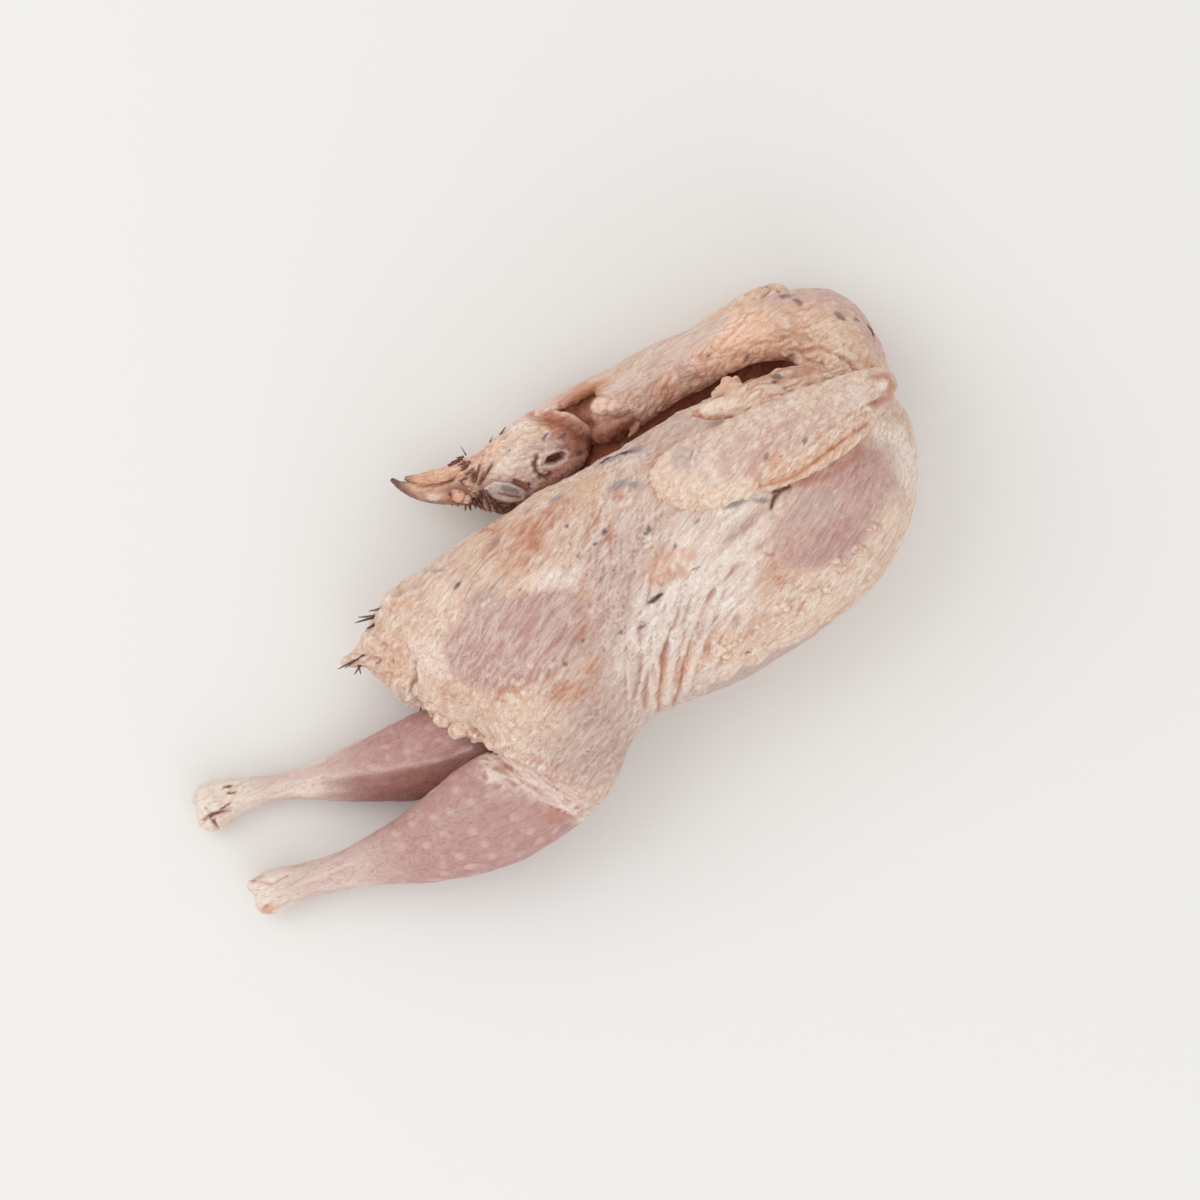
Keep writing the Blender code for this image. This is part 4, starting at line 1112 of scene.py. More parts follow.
def wing_root():
    """The crinkled skin between wing and back: a pale tongue, a fleshy knob, and folds behind them."""
    tongue_rows = [
        (45.6, 26.2, 49, 0.7, 0.8), (48.5, 25.6, 49.6, 1.9, 1.3), (53, 24.9, 50.2, 2.5, 1.7),
        (58, 24.6, 50.4, 3.4, 2.2), (65, 24.4, 49.6, 4.2, 2.6), (71, 24.6, 48, 4.2, 3),
        (77, 23.8, 46, 3.4, 3), (83, 21.8, 43.5, 2, 2.4),
    ]
    knob = [
        (58, 25.6, 46, 3, 3), (56.8, 28, 45, 2.8, 2.4), (56.6, 29.8, 44, 2, 1.8), (56.2, 31.4, 43, 1.1, 1.2),
    ]
    fold = [
        (52, 28, 44, 1.3, 1.4), (54.6, 28.4, 44.6, 1.8, 1.6), (57.6, 29.4, 44, 1.7, 1.6),
        (59, 30.4, 43.4, 1, 1),
    ]
    skin = Skin("wing_root", 0.32, 4, [tongue_rows, knob, fold])
    p = skin.start
    x = p[:, 0]
    tongue = [(45.6, 26), (52, 24.6), (60, 24.2), (70, 24.6), (84, 21)]
    folds = crinkled(p, tongue, 1.5, 4, 431)
    beads = lumps(p, 1.9, 433, 0.8, 0.7)
    wrinkled = ease(56, 63, x)
    skin.push(layers(p, 4, 3, 435) * 0.4 + (folds - 0.5) * (0.16 + 0.34 * wrinkled) + beads * 0.2)
    skin.settle()
    skin.base(441, TAN, ((5, CREAM, 0.8), (3, ORANGE, 0.5), (2, LILAC, 0.3)))
    skin.zones(ragged(p, 2.5, 0.6, 445), [
        (52.5, 25.2, 6.5, 1.7, -8, (240, 220, 200), 0.9), (46.6, 25.6, 1.6, 1.6, 0, RUST, 0.7),
        (50, 23.6, 4, 0.8, -20, RUST, 0.7), (56.8, 30.2, 2.4, 2.6, 30, ORANGE, 0.6),
        (57.6, 28, 2.5, 1.5, 0, CREAM, 0.6), (71, 27, 8, 2, -8, RUST, 0.5),
    ])
    skin.crease(folds, 0.2 + 0.25 * wrinkled, RUST, WHITE)
    skin.marks([(67.4, 27.4, 3.2, 1, -30), (66.4, 26.4, 1.6, 0.8, 0)], SLATE, 0.9)
    skin.shade_hollows_light_crests()
    finish_piece(skin, WING_SKIN)


# ------------------------------------------------------------------ neck
NECK_LAY = [(30, 16), (34, 29), (40, 35), (50, 39.5), (62, 42.5), (80, 45)]
NECK_FLOW = [(88, 20), (89, 31), (83, 37.5), (73, 39.5), (60, 39.5), (45, 38.2), (30, 36.2)]
PURPLE_BAND = [(74, 46.5), (80, 45), (85.5, 42), (90, 37.5), (93, 31), (94, 26)]


def neck():
    """The neck folded back along the spine: pored skin, the bulge of the crop and the torn end."""
    cut_end = [(29.6, 36.2, 12.4, 7.6, 7.2), (28, 36, 12, 5.6, 5.4)]
    skin = Skin("neck", 0.36, 4, [NECK[:9] + cut_end, THROAT_STRIP])
    p = skin.start
    x, y, _ = p.T
    crop = ease(64, 74, x)
    smooth_edge = np.interp(x, (26, 30, 38, 47, 56, 64), (40.5, 37.4, 37.2, 39.2, 42, 44.5))
    outer = ease(-1, 1, y + noise(p, 3, 501) - smooth_edge) * (1 - ease(58, 66, x))
    purple = np.maximum(line(p, PURPLE_BAND, 3), ease(0, 1, beside(p, PURPLE_BAND)[0]) * crop)
    smooth = np.clip(outer + 0.7 * purple, 0, 1)
    rim = np.interp(y, (29, 34, 36, 39.5), (33.4, 33, 30.8, 27.6))
    torn = (1 - ease(-1, 1, x + 1.2 * noise(p, 2.4, 605) - rim)) * (1 - ease(38.2, 39.4, y))
    skin.push(layers(p, 8, 3, 503) * 0.35 + crop * noise(p, 3.6, 505) * 0.4 - 0.5 * torn)
    skin.folds([
        ([(70, 31.6), (75, 30), (78.5, 27), (81, 23)], 0.6, -1.1),
        ([(73, 31.4), (80, 30.6), (84.5, 26), (87, 21), (89.5, 18)], 0.6, -0.9),
        ([(71.5, 31), (77, 28.8), (80, 25.5), (82.5, 22.5)], 0.8, 0.6),
        ([(76, 33), (83, 32.6), (88, 27), (90.5, 22)], 0.6, -0.5),
        ([(60, 35.5), (66, 36.5), (73, 35.5), (78, 33.5)], 0.7, -0.5),
        ([(93.4, 32.5), (93.6, 30), (93.4, 28)], 0.45, -0.9),
    ])
    skin.settle()
    grains = crinkled(p, NECK_LAY, 1.35, 3, 511, sway=0.5)
    rows = threads(p, NECK_LAY, 2.6, 5, 513, sway=0.4, thin=2.6)
    folds = crinkled(p, NECK_FLOW, 1.9, 6, 521, sway=0.8)
    fibre = crinkled(p, NECK_FLOW, 1.1, 12, 531)
    big = ease(0, 0.9, lumps(p, 2.7, 541, 0.85, 0.7))
    tubular = 1 - crop
    relief = tubular * (1 - outer) * (0.32 * (grains - 0.5) + 0.24 * rows) + 0.12 * (fibre - 0.5) * outer
    relief += crop * (1 - 0.6 * purple) * (0.26 * big + 0.42 * (folds - 0.5))
    skin.push(relief)
    skin.lay_flat()

    q = ragged(p, 4, 1.2, 571)
    skin.base(581, TAN, ((6, CREAM, 0.5), (3.5, ORANGE, 0.5), (2.2, WHITE, 0.3)))
    inner = tubular * (1 - outer)
    skin.tint(inner * 0.65, (238, 190, 162))
    skin.tint(inner * ease(50, 60, x) * 0.85, (252, 212, 184))
    skin.tint(inner * (1 - ease(48, 58, x)) * 0.5, (212, 162, 142))
    skin.tint(inner * (1 - ease(31, 35, y)) * (1 - ease(50, 58, x)) * 0.4, (190, 134, 112))
    skin.tint(inner * ease(0.5, 0.9, grains) * 0.55, (242, 212, 192))
    skin.tint(inner * rows * 0.5, (244, 218, 200))
    skin.tint(inner * (1 - ease(0.1, 0.45, grains)) * 0.5, (196, 136, 110))
    skin.tint(inner * ease(0, 0.6, layers(p, 4.5, 2, 601)) * (1 - ease(46, 54, x)) * 0.5, LILAC)
    skin.tint(crop * (1 - big) * 0.3, ORANGE)
    skin.tint(crop * big * 0.35, CREAM)
    skin.crease(folds, 0.45 * (1 - smooth) * crop, (206, 146, 116), WHITE)
    skin.tint(outer * 0.85, (222, 198, 186))
    skin.tint(outer * ease(0.1, 0.8, layers(p, (9, 2, 4), 2, 585)) * 0.4, ORANGE)
    skin.crease(fibre, 0.25 * outer, (196, 160, 146), WHITE)
    skin.tint(purple * 0.75, (212, 176, 170))
    skin.tint(purple * big * 0.4, CREAM)
    skin.zones(q, [
        (84, 30, 5, 8, 10, CREAM, 0.5), (33, 42.6, 9, 1.6, 5, TAN, 0.6),
        (24, 41, 6, 2, 5, (208, 150, 116), 0.8), (63, 38, 8, 3.6, 10, (252, 208, 180), 0.6),
    ])
    skin.shade_hollows_light_crests((200, 136, 104), (160, 100, 76), 0.5)
    skin.marks([
        (77, 45.4, 3.4, 0.9, -10), (79, 43, 2.6, 1.2, -50), (87, 36, 3.4, 1.2, -55),
        (55, 38.5, 1.4, 0.9, 30), (63.2, 35, 1.9, 0.9, 30), (90.4, 34, 1.8, 0.9, -60),
        (28.4, 39.6, 0.5, 0.5, 0),
    ], SLATE, 0.75)
    skin.marks([(93.6, 30.6, 0.8, 3.4, 0)], DARK, 0.95)
    # Painted shade where the neck lies along the gap by the back.
    gap_side, _ = beside(p, [(20, 27.4), (34, 28.6), (44, 31), (57, 33.2), (64, 34), (70, 33), (75, 30.4)])
    buried_shade = ease(0.2, 1.6, -gap_side) * (1 - ease(72, 76, x)) * skin.up
    skin.tint(buried_shade * 0.95, GAP_SHADE)
    skin.tint(torn * 0.8, (190, 138, 116))
    skin.tint(torn * (1 - ease(30, 33.5, y)) * 0.6, (150, 98, 80))
    skin.stroke([(28, 39.4), (31, 36.2), (33.6, 34), (34.2, 31)], 0.6, 0.5, (232, 208, 194))
    finish_piece(skin, NECK_SKIN)


def nape():
    """Torn muscle between skull and neck: a pink lump and a brown lobe in a dark pocket."""
    core = [
        (36, 36.8, 12, 5.4, 5.4), (28, 35, 9.6, 5.6, 4.6), (21, 33.6, 8, 5.4, 4.4), (17, 33, 7.6, 3, 3),
    ]
    skin = Skin("nape", 0.3, 3, [core], [
        (27.6, 36, 17.6, 3.4, 2.7, 3, -20), (30.4, 34.2, 18.4, 3.4, 2.3, 2.9, -25),
        (25.4, 34.2, 15.4, 2.2, 1.8, 2.4, 0), (27.2, 30.8, 14.8, 5.2, 3.6, 4.2, 8),
        (31, 31.2, 15.6, 3.4, 2.6, 4, 20), (32.2, 28, 17, 2.4, 0.9, 0.9, 35),
        (23.4, 31.8, 12, 2.2, 3, 3.2, 0),
    ])
    p = skin.start
    z = p[:, 2]
    folds = crinkled(p, heading(20), 2, 2.6, 621)
    skin.push(layers(p, 3, 3, 623) * 0.5 + (folds - 0.5) * 0.2)
    skin.lay_flat()
    skin.base(631, (164, 112, 96), ((4, (190, 138, 116), 0.8), (2, (130, 78, 64), 0.5)))
    skin.zones(ragged(p, 2.5, 0.6, 635), [
        (28, 35.6, 4.4, 3.2, -20, (250, 214, 190), 1), (30.8, 34, 4, 2.6, -20, (240, 206, 192), 1),
        (27.4, 29.8, 6.4, 3.6, 10, (158, 102, 82), 0.85), (27, 31.6, 4, 1.2, 5, (200, 150, 124), 0.6),
        # The dark oval at (27, 27.4) is painted shade along the lobe's lower edge, by the gap under it.
        (27, 27.4, 6, 1.6, 10, (112, 62, 48), 0.8), (32.4, 28.2, 2.6, 1, 35, (188, 138, 114), 0.9),
    ])
    skin.crease(folds, 0.22, (120, 70, 56), CREAM)
    # Painted light: the pocket and the low parts lie in shade, and are painted lighter to offset it.
    pocket = np.maximum(oval(p, 21.8, 37, 2.4, 2.6, -30, 0.4), oval(p, 23, 39.4, 6, 1.3, 6, 0.4))
    skin.tint(np.maximum(pocket, 1 - ease(8, 11.5, z)) * 0.85, (210, 148, 122))
    finish_piece(skin, FLESH)


# ------------------------------------------------------------------ head
JAW_EDGE = [(13, 41), (15.9, 38.4), (19, 36.4), (21.3, 33.2), (22.4, 30.4), (23, 26)]
EYE_CORNER = [(0.9, 26), (2.2, 24.6), (3.4, 23)]
EYE_SLIT = [(-4.3, 25.9), (-1.6, 24.3), (1.6, 22.3)]
UPPER_LID = [(-5.9, 26.8), (-3.6, 27.3), (-0.5, 25.9), (1.8, 24.1), (3.3, 22.7)]
LOWER_LID = [(-5.8, 26.2), (-4.5, 24.3), (-1.8, 22.3), (1.6, 21.5)]
CROWN_EDGE = ((-8, -1.4, 4.3, 10, 15.7, 20, 24), (22.6, 21.8, 22.4, 24.2, 25.4, 27, 28))
EAR_FOLD = [(8, 30), (6.8, 28.4), (6.7, 26.6), (7.6, 24.9), (8.7, 24.3), (9.6, 25)]
EAR_RIM = [(9.6, 28.8), (10.6, 29.7), (13.4, 29.6), (15.1, 28.5), (14.6, 27), (12.2, 26.5), (10.4, 26.8)]
FRINGE = [
    [(-7.7, 27), (-8.2, 25), (-8.3, 23)], [(-7.1, 26.8), (-6.9, 24), (-7.3, 21)],
    [(-6.3, 26.7), (-6, 23.8), (-5.4, 20.8)], [(-5.6, 24.4), (-4.9, 22.4), (-4, 20.8)],
    [(-10, 25.4), (-9.4, 24), (-8.9, 22.4)], [(-8.9, 26.4), (-9, 24.6), (-8.3, 22)],
    [(-4.6, 22.6), (-3, 21.6), (-1.2, 20.9)],
]
BROW_LINES = [
    [(-7.3, 28.7), (-5.3, 30.7)], [(-6.3, 29.2), (-4.2, 31), (-2.7, 32)], [(-7.3, 31), (-5.7, 33)],
    [(-8.2, 29.6), (-6.9, 31.6)], [(-9.6, 32), (-7.6, 32.6)],
]
PALE_LINES = [
    [(-6.8, 32), (-5.7, 34)], [(-2.7, 33.3), (-1, 35.3)], [(-6, 29.5), (-4, 30.4), (-2.3, 31)],
    [(-6.7, 26.4), (-6.5, 23.8), (-6.4, 21.6)], [(-7.7, 24.6), (-7.8, 22.4)], [(-9, 33), (-5.6, 33.6)],
    [(0.2, 36.4), (5, 37)], [(-4.2, 33.2), (-2.4, 35.6)],
]


def head():
    """The skull with its eye, ear, jaw and nostril. Returns its points, for strands to lie on."""
    skull = bmesh.new()
    loft(skull, square_sections(SKULL))
    skin = Skin("head", 0.27, 4, [], [
        (-1.3, 24.8, 18.2, 5.2, 2.9, 2.6, -27), (-1.3, 24.8, 3.8, 5.2, 2.9, 2.4, -27),
        (-12.7, 27.4, 14.2, 2.7, 1.2, 1.5, -40), (-9.5, 33.8, 12.6, 3, 1.2, 1.4, 10),
        (-8.6, 29, 14, 3, 2.4, 1.6, 60),
    ], skull)
    p = skin.start
    x, y, z = p.T
    jaw_side, _ = beside(p, JAW_EDGE)
    behind = ease(0, 0.9, jaw_side) * ease(10, 14, x) * ease(5, 8, z)
    skin.points[:, 2] -= behind * np.clip(z - 7, 0, None) * 0.55
    skin.push(layers(p, 6, 3, 653) * 0.3 * (1 - behind))
    skin.folds([
        (JAW_EDGE[1:5], 0.6, 1), ([(12, 38.6), (15.6, 36.6), (18.2, 33.6), (19.8, 30.4)], 1.2, -1.3),
        (UPPER_LID, 0.5, 0.5), (LOWER_LID, 0.5, 0.45), (EYE_SLIT, 0.6, 0.35),
        ([(-5, 28.4), (-2, 28.2), (1.2, 26.2), (3.6, 24.2)], 0.5, -0.5),
        (EYE_CORNER, 0.6, -1), (EAR_FOLD, 0.6, -1.2),
        ([(9.2, 29.8), (8, 28.2), (8, 26.4)], 0.45, 0.4), ([(6, 29.6), (5.4, 27), (6.2, 24.4)], 0.6, 0.35),
        (EAR_RIM, 0.55, 0.4), ([(10.4, 28), (12.1, 28.2), (14, 28.2)], 0.85, -1.8),
        ([(4, 38.6), (9, 38.2), (13, 36)], 0.6, 0.4), ([(2, 37), (8, 36.6), (12, 34.4)], 0.5, -0.3),
        ([(-5, 33.6), (0, 34.2), (5, 35.6)], 0.5, -0.35),
        ([(-10.6, 28.9), (-11.8, 26.6), (-13, 25.6)], 0.5, -0.8),
    ])
    skin.settle()
    feather_rows = [(-14, 32), (-6, 31.5), (4, 33), (14, 32), (24, 28)]
    face = threads(p, feather_rows, 1, 4.5, 661)
    folds = crinkled(p, feather_rows, 1.2, 2.6, 663)
    crown = (1 - ease(-0.6, 1.2, y + 0.8 * noise(p, 3, 667) - np.interp(x, *CROWN_EDGE))) * ease(-8, -5, x)
    front = 1 - ease(-6.5, -2, x - (y - 28) * 0.2)
    lids = oval(p, -1.4, 24.6, 6, 3, -27, 0.3)
    flap = oval(p, -12.7, 27.4, 2.7, 1.3, -40, 0.3) * skin.up
    bars = threads(p, feather_rows, 0.9, 3, 665) * front * (1 - flap)
    relief = ((folds - 0.5) * 0.24 * (1 - flap) + face * 0.12) * (1 - lids) * (1 - behind)
    skin.push(relief + bars * 0.25 + flap * 0.5)
    skin.lay_flat()

    q = ragged(p, 3, 0.9, 671)
    skin.base(681, (224, 192, 170), ((5, CREAM, 0.7), (3, ORANGE, 0.5), (2, LILAC, 0.3)))
    skin.zones(q, [
        (2, 31.5, 6, 4, -20, WHITE, 0.45), (11, 30.4, 6, 3.6, -10, LILAC, 0.6),
        (4, 26.5, 4, 2.4, -20, LILAC, 0.6), (8, 36, 6, 2, 0, CREAM, 0.6), (-4, 34, 6, 3, 15, ORANGE, 0.5),
        # The white oval at (7, 38.5) is a painted highlight.
        (7, 38.5, 4, 1.4, -10, WHITE, 0.7), (15.5, 40.6, 7, 1.7, 0, (214, 156, 120), 0.85),
        (15, 36.8, 6, 3, -48, (188, 124, 92), 0.95), (17.8, 33, 4.4, 2.6, -60, (180, 122, 98), 0.9),
        (17.8, 29, 5.4, 3.4, -35, (172, 122, 106), 0.95), (14.5, 26.6, 6, 2.2, 14, (168, 118, 104), 0.8),
        (7, 24, 5, 1.6, 8, (176, 128, 114), 0.6),
    ])
    skin.crease(folds, 0.35, (184, 128, 108), WHITE)
    skin.zones(q, [
        (15.4, 36.6, 6, 2.6, -48, (190, 124, 92), 0.75), (18.6, 30.6, 4.4, 3.6, -60, (188, 134, 114), 0.8),
        (15, 26, 6, 2, 14, (190, 138, 122), 0.8),
    ])
    skin.tint(face * 0.3 * (1 - ease(12, 16, x)), WHITE)
    skin.tint(front * 0.6, (204, 144, 116))
    skin.tint(bars * 0.7, (236, 198, 172))
    skin.tint(lids * 0.7, (190, 172, 168))
    skin.tint(lids * threads(p, heading(58), 0.8, 2.5, 685) * 0.35, WHITE)
    skin.tint(oval(p, -0.7, 24.7, 2.5, 1.5, -38, 0.4) * 0.8 * skin.up, (118, 102, 100))
    skin.stroke([(-3.6, 25), (-1.4, 23.4), (0.8, 22.3)], 0.3, 0.8, (120, 76, 66))
    skin.stroke([(-5.8, 27.4), (-3.6, 27.8), (-0.6, 26.6), (1, 25.4)], 0.32, 0.75, BROWN)
    # The crown's darker band is partly the skin's own brown and partly painted shade where the head turns
    # under towards the body.
    skin.tint(crown * (1 - 0.8 * lids) * (0.9 - 0.4 * ease(7, 13, x)), (158, 106, 92))
    skin.tint(crown * threads(p, heading(-25), 0.8, 4, 687) * (1 - lids) * 0.5, (176, 136, 124))
    skin.stroke(UPPER_LID, 0.4, 0.55, (232, 214, 204))
    skin.stroke(LOWER_LID, 0.4, 0.55, (222, 204, 198))
    skin.stroke(EAR_FOLD, 0.55, 0.9, (96, 50, 40))
    skin.stroke(EAR_RIM, 0.55, 0.5, WHITE)
    wedge = line(p, EYE_CORNER, 0.6)
    wedge = np.maximum(wedge, line(p, [(3.4, 23), (4, 24.6)], 0.4))
    skin.tint(wedge * 0.95 * skin.up, (78, 36, 28))
    # Painted shadow along the inner side of the jaw ridge.
    jaw_shadow = [(13, 38.4), (16.4, 36.2), (18.8, 33.2), (20.4, 30.2)]
    skin.stroke(jaw_shadow, 0.5, 0.6, (140, 84, 64), around=True)
    skin.tint(oval(p, 12.1, 28.1, 2.6, 1.1, 4, 0.35) * skin.up, (92, 48, 38))
    skin.stroke([(-10.9, 28), (-11.6, 26.2), (-13, 25.4), (-15.2, 26.6)], 0.8, 0.8, BROWN)
    skin.tint(flap * 0.95, (246, 188, 156))
    skin.tint(flap * ease(0, 0.5, layers(p, 1.2, 2, 723)) * 0.3, (206, 148, 120))
    fringe = np.maximum(oval(q, -7.6, 23.6, 3.2, 5.4, 18, 0.6), oval(q, -4, 21.2, 4.4, 1.6, -6, 0.6))
    hairs = threads(p, heading(-74), 1.5, 6, 689, thin=2)
    skin.tint(fringe * (0.4 + 0.4 * hairs), (120, 72, 60))
    dark_lines = np.max([line(p, path, 0.4) for path in FRINGE + BROW_LINES], axis=0) * skin.up
    pale_lines = np.max([line(p, path, 0.35) for path in PALE_LINES], axis=0) * skin.up
    skin.tint(dark_lines * 0.85, (84, 40, 32))
    skin.tint(pale_lines * 0.75, (244, 212, 188))
    skin.shade_hollows_light_crests(RUST, BROWN, 0.6)
    # Painted light over the shaded pocket between head and body.
    skin.tint(oval(q, 16.4, 25.9, 4.2, 1.3, 12, 0.5) * 0.75, (240, 198, 182))
    skin.tint(oval(q, 1.5, 31, 5.5, 2.6, -15, 0.5) * 0.2, (238, 222, 210))
    skin.marks([
        (11.4, 33.9, 2.2, 1, 25), (15.5, 32.6, 2.4, 0.8, 10), (17.9, 27.4, 1.8, 1.1, 30),
        (2.3, 34, 0.7, 0.5, 0), (20.2, 27.6, 0.8, 0.6, 0),
    ], SLATE, 0.85)
    skin.marks([
        (-11.8, 29.8, 3, 2.2, 60), (-7.8, 30.8, 2.6, 1.8, 60), (-9.2, 34.3, 4, 1.8, 25),
        (-9.4, 25, 2.6, 1.6, -50), (-15.2, 28.6, 2.6, 1.6, 0), (-14.6, 26.2, 3, 1.4, -40),
        (-10.6, 31, 3, 0.7, 10),
    ], (100, 54, 42), 0.95)
    skin.tint(behind * 0.95, (204, 144, 120))
    skin.tint(line(p, JAW_EDGE[1:5], 0.6) * 0.9 * ease(8, 12, z), (234, 192, 168))
    finish_piece(skin, HEAD_SKIN)
    return skin.points


def beak(name, rows, seed):
    """One half of the beak, before its own paint."""
    skin = Skin(name, 0.24, 4, [rows])
    p = skin.start
    path = [row[:2] for row in rows]
    fibre = crinkled(p, path, 0.9, 7, seed)
    skin.push((fibre - 0.5) * 0.14 + layers(p, 1.6, 2, seed + 3) * 0.08)
    skin.settle()
    skin.base(seed + 5, (232, 184, 154), ((3, (240, 208, 184), 0.8), (1.6, (206, 150, 122), 0.5)))
    skin.crease(fibre, 0.3, (196, 136, 110), (244, 214, 192))
    return skin


def upper_beak():
    """The upper half of the beak, dark along its ridge and at its tip."""
    skin = beak("upper_beak", UPPER_BEAK, 701)
    p = skin.start
    x = p[:, 0]
    culmen, _ = beside(p, [(-27.6, 37.8), (-26.4, 34.4), (-24.4, 31.6), (-21, 29), (-16, 26.4), (-10, 24)])
    skin.tint((1 - ease(0.4, 2.2, np.abs(culmen))) * (1 - ease(-20, -12, x)) * 0.8, (140, 102, 92))
    skin.tint((1 - ease(-26.6, -22, x)) * 0.85, (112, 78, 72))
    # The pale stroke is a painted highlight along the beak's ridge.
    skin.stroke([(-22, 30.6), (-18.6, 29), (-16, 28.6)], 0.7, 0.6, (236, 206, 186), around=True)
    mottled = oval(p, -20.5, 30.2, 6.5, 1.8, -34, 0.5) * ease(0, 0.5, layers(p, 1.2, 2, 721))
    skin.tint(mottled * 0.7, (176, 134, 124))
    # Two painted highlights, white glints on the beak.
    skin.tint(oval(p, -19.3, 29.7, 1.5, 0.7, -40, 0.5) * 0.8, (250, 236, 228))
    skin.tint(oval(p, -17.8, 29.4, 1.1, 0.5, -15, 0.5) * 0.8, (250, 236, 228))
    skin.stroke([(-21.6, 32.9), (-17.6, 31.2), (-14.6, 30.9), (-11.4, 31.4)], 0.4, 0.5, CREAM, around=True)
    skin.stroke([(-21.6, 33.4), (-17.5, 31.9), (-14.5, 31.6), (-10.5, 32.3)], 0.35, 0.7, BROWN, around=True)
    skin.tint(oval(p, -18, 31, 6, 1.6, -20, 0.6) * 0.45, (196, 144, 118))
    skin.tint(ease(-18, -14, x) * (1 - ease(30, 31.6, p[:, 1])) * 0.7, (132, 78, 60))
    finish_piece(skin, HORN)


def lower_beak():
    """The lower half of the beak."""
    skin = beak("lower_beak", LOWER_BEAK, 711)
    p = skin.start
    x = p[:, 0]
    skin.tint((1 - ease(-23.6, -20.5, x)) * 0.7, (136, 104, 98))
    gape = [(-24.2, 34.4), (-21.8, 33.2), (-19.1, 32.2), (-15.5, 31.8), (-11, 32.2)]
    skin.stroke(gape, 0.45, 0.8, BROWN, around=True)
    finish_piece(skin, HORN)


# ------------------------------------------------------------------ feather stubs
SIDES = 6  # of a shaft
STUB_TAPER = ((0.0, 1.0), (0.35, 0.9), (0.7, 0.6), (0.92, 0.35), (1.0, 0.12))  # share of length, of radius
STUB_SAG = 0.08  # of a stub's length
STUB_SWELL = 1.45  # a stub's radius at its root, over the radius in its row
STRAND_RADIUS = 0.3
STRAND_RINGS = 7
STRAND_CLEAR = 0.12  # height of a strand's middle over the skin
NEARBY = 0.7  # reach within which a strand finds the skin under it
UPPER_SIDE = 10.0  # skin lower than this isn't the head's upper side


def ring(shells, middle, side, rise, radius, share=1.0):
    """The points of one ring of a shaft."""
    turns = (k * 2 * math.pi / SIDES for k in range(SIDES))
    return [
        shells.verts.new(middle + (side * math.cos(a) + rise * math.sin(a)) * radius * share)
        for a in turns
    ]


def stub(shells, start, end, radius, sag):
    """A closed tapering shaft from start to end."""
    start, end = Vector(start), Vector(end)
    run = end - start
    side = run.cross(Vector((0, 0, 1))).normalized()
    rise = side.cross(run).normalized()
    bridge(shells, [
        ring(shells, start + run * t + rise * (sag * 4 * t * (1 - t)), side, rise, radius, share)
        for t, share in STUB_TAPER
    ])


def strand(shells, path, bed):
    """A thin closed shaft along a path in plan, lying on a surface's points."""
    track = np.array(path, float)
    t = np.linspace(0, 1, STRAND_RINGS)
    track = np.stack([np.interp(t, np.linspace(0, 1, len(track)), side) for side in track.T], axis=1)
    heights = []
    for spot in track:
        near = bed[np.hypot(*(bed[:, :2] - spot).T) < NEARBY, 2]
        on_skin = len(near) and near.max() > UPPER_SIDE
        heights.append(near.max() + STRAND_CLEAR if on_skin else heights[-1] - 0.5)
    rings = []
    for k in range(STRAND_RINGS):
        run = track[min(k + 1, STRAND_RINGS - 1)] - track[max(k - 1, 0)]
        side = Vector((run[1], -run[0], 0)).normalized()
        radius = STRAND_RADIUS * (0.75 + 0.25 * math.sin(math.pi * t[k])) * (1 - 0.85 * t[k] ** 3)
        rings.append(ring(shells, Vector((*track[k], heights[k])), side, Vector((0, 0, 1)), radius))
    bridge(shells, rings)


def stub_piece(name, rows, material, paths=(), bed=None):
    """Stubs joined as one piece: x, y, z of the root, direction, length, drop, radius."""
    shells = bmesh.new()
    for x, y, z, degrees, length, drop, radius in rows:
        turn = math.radians(degrees)
        end = (x + math.cos(turn) * length, y + math.sin(turn) * length, z - drop)
        stub(shells, (x, y, z), end, radius * STUB_SWELL, STUB_SAG * length)
    for path in paths:
        strand(shells, path, bed)
    bmesh.ops.recalc_face_normals(shells, faces=shells.faces)
    bmesh.ops.translate(shells, verts=shells.verts, vec=(-PLAN_CENTRE[0], -PLAN_CENTRE[1], 0.0))
    bmesh.ops.scale(shells, verts=shells.verts, vec=(MM, MM, MM))
    data = bpy.data.meshes.new(name)
    shells.to_mesh(data)
    shells.free()
    data.polygons.foreach_set("use_smooth", np.ones(len(data.polygons), bool))
    data.materials.append(material)
    dress(data)


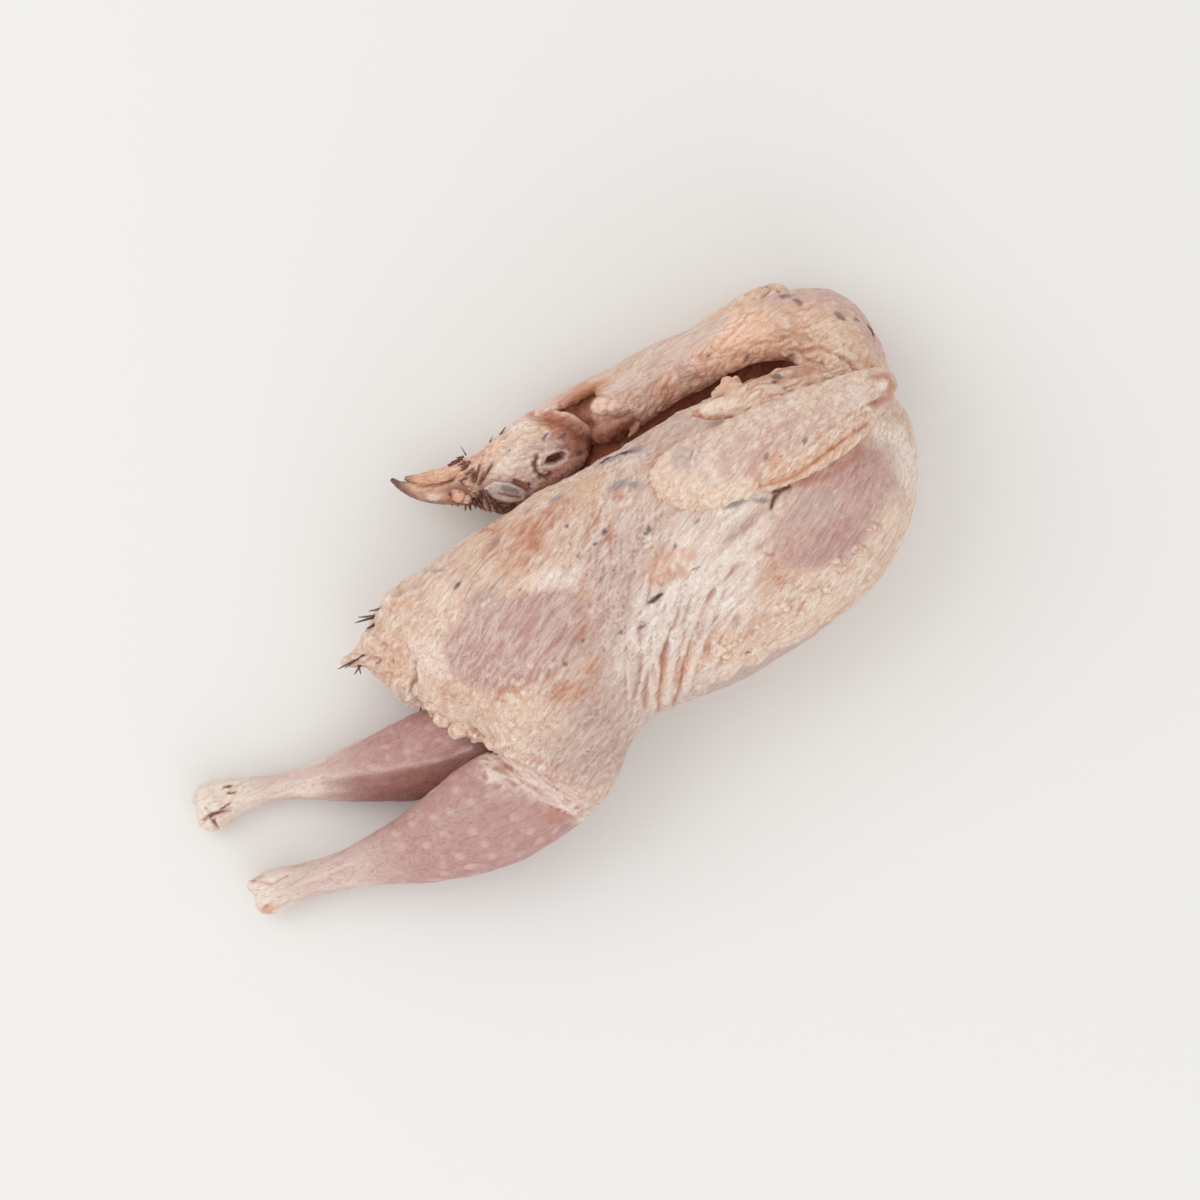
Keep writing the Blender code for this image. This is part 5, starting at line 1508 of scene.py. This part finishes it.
QUILLS = [
    (-38.4, 6.8, 20.5, 176, 8.6, 1, 0.32), (-38, 7.6, 21, 183, 7.4, 0.4, 0.3),
    (-39.4, 6, 20, 190, 5.6, 1.4, 0.34), (-38.2, 8.2, 21.6, 172, 4.6, 0.2, 0.26),
    (-40.6, 7, 20.4, 165, 5.4, 0.6, 0.24), (-44, 0.5, 19, 196, 9.6, 2.6, 0.22),
    (-46, -0.6, 18.2, 187, 9, 2.6, 0.26), (-48.4, -2, 16.6, 216, 4, 1.8, 0.24),
    (-49.6, -1.4, 16.4, 262, 3.4, 1.8, 0.22), (-47.6, -1, 17.2, 178, 5, 1.6, 0.2),
    (-37.9, -16.4, 15, 222, 2.6, 1, 0.26), (-44.8, -3.4, 18.4, 215, 1.6, 0.2, 0.26),
]
BRISTLES = [
    (-9, 36, 12.6, 178, 3.2, 0.2, 0.26), (-10, 35.7, 12.8, 182, 3, 0.4, 0.26),
    (-11, 35.6, 12.6, 174, 2.2, 0.2, 0.22), (-8.6, 36.3, 12.2, 168, 2, 0.2, 0.2),
    (-12, 35.3, 12.4, 188, 1.8, 0.4, 0.22), (-7.6, 34.6, 14.6, 195, 2.8, 0.2, 0.34),
    (-8.2, 34.2, 14.6, 205, 2.6, 0.4, 0.34), (-8.6, 35, 14.2, 185, 2.2, 0.2, 0.26),
    (-8, 36.4, 12, 100, 2.6, 0, 0.12), (-13.4, 27, 12.6, 242, 1.9, 0.4, 0.28),
    (-14.4, 27.3, 12.2, 226, 1.7, 0.4, 0.26), (-11.2, 26, 12.8, 262, 2.6, 0.8, 0.34),
    (-11.8, 26, 12.6, 244, 2.4, 0.8, 0.3), (-10.6, 26.6, 13.2, 275, 2.2, 0.8, 0.26),
    (-9.6, 26.6, 13.6, 285, 3.2, 1.4, 0.24), (-9, 27.2, 14.2, 282, 4.2, 1.4, 0.24),
    (-8.4, 27.2, 14.8, 286, 4.8, 1.6, 0.26), (-8, 27.8, 15.2, 280, 5.4, 1.6, 0.26),
    (-7.3, 27.4, 16.2, 284, 6, 1.6, 0.28), (-6.7, 27.2, 17.2, 286, 5.6, 1.4, 0.28),
    (-6.2, 25.8, 18.2, 289, 4.6, 1.6, 0.26), (-8.6, 25.4, 13.4, 280, 3.2, 1.4, 0.22),
    (-7.2, 25, 15.4, 276, 3.8, 1.4, 0.22), (-10.2, 25.2, 12.4, 268, 1.8, 1, 0.22),
    (1.4, 38.2, 14, 35, 2.6, 0, 0.16), (-1.6, 37.4, 13, 45, 1.8, 0, 0.12),
]


BODY_SKIN = skin_material("body_skin", 36.0, thread=0.36)
LEG_SKIN = skin_material("leg_skin", 4.0, thread=0.16)
WING_SKIN = skin_material("wing_skin", 30.0, thread=0.22)
NECK_SKIN = skin_material("neck_skin", 12.0)
HEAD_SKIN = skin_material("head_skin", -12.0)
FLESH = skin_material("flesh", 70.0, rough=0.42, broken=0.3, thread=0.12)
HORN = skin_material("horn", -20.0, rough=0.42, broken=0.5)
SHAFTS = shaft_material("shafts", (66, 42, 40), (132, 102, 94))
HAIRS = shaft_material("hairs", (88, 46, 36), (150, 104, 84))
carcass()
upper_leg()
under_leg()
upper_wing()
under_wing()
wing_root()
neck()
nape()
brow = head()
upper_beak()
lower_beak()
stub_piece("tail_quills", QUILLS, SHAFTS)
stub_piece("bristles", BRISTLES, HAIRS, FRINGE + BROW_LINES, brow)


# ------------------------------------------------------------------ floor, light and camera
FLOOR_REACH = 1.5
LAMP_AIM = (0, 0, 0.02)
CAMERA_HEIGHT = 1.2
CAMERA_OVER = (0.0122, -0.00285)
CAMERA_TURN = -20.0
SENSOR = 36.0
VIEW_WIDTH = 0.288  # seen across the frame, at the height of SCALE_LEVEL
SCALE_LEVEL = 0.025


def floor():
    """The pale matte surface that the bird lies on."""
    mesh = bmesh.new()
    bmesh.ops.create_grid(mesh, x_segments=1, y_segments=1, size=FLOOR_REACH)
    data = bpy.data.meshes.new("floor")
    mesh.to_mesh(data)
    mesh.free()
    made = bpy.data.objects.new("floor", data)
    bpy.context.scene.collection.objects.link(made)
    matte = bpy.data.materials.new("floor")
    matte.use_nodes = True
    shader = matte.node_tree.nodes["Principled BSDF"]
    shader.inputs["Base Color"].default_value = (0.86, 0.85, 0.83, 1)
    shader.inputs["Roughness"].default_value = 0.9
    data.materials.append(matte)


def lamp(name, place, size, power):
    """A square area light turned towards the bird."""
    data = bpy.data.lights.new(name, "AREA")
    data.size = size
    data.energy = power
    made = bpy.data.objects.new(name, data)
    made.location = place
    made.rotation_euler = (Vector(LAMP_AIM) - Vector(place)).to_track_quat("-Z", "Y").to_euler()
    bpy.context.scene.collection.objects.link(made)


def camera():
    """Straight above, with the bird lying aslant in the frame."""
    data = bpy.data.cameras.new("camera")
    data.sensor_width = SENSOR
    data.lens = SENSOR * (CAMERA_HEIGHT - SCALE_LEVEL) / VIEW_WIDTH
    made = bpy.data.objects.new("camera", data)
    made.location = (*CAMERA_OVER, CAMERA_HEIGHT)
    made.rotation_euler = (0.0, 0.0, math.radians(CAMERA_TURN))
    bpy.context.scene.collection.objects.link(made)
    bpy.context.scene.camera = made


def daylight(strength):
    """Soft light from all round."""
    world = bpy.data.worlds.new("daylight")
    bpy.context.scene.world = world
    world.use_nodes = True
    sky = world.node_tree.nodes["Background"]
    sky.inputs["Color"].default_value = (1.0, 0.995, 0.985, 1)
    sky.inputs["Strength"].default_value = strength


floor()
daylight(0.80)
lamp("window", (-0.60, 0.50, 0.92), 0.9, 3.2)
lamp("fill", (-0.05, -0.90, 0.65), 0.9, 1.9)
camera()
bpy.context.scene.view_settings.view_transform = "Standard"
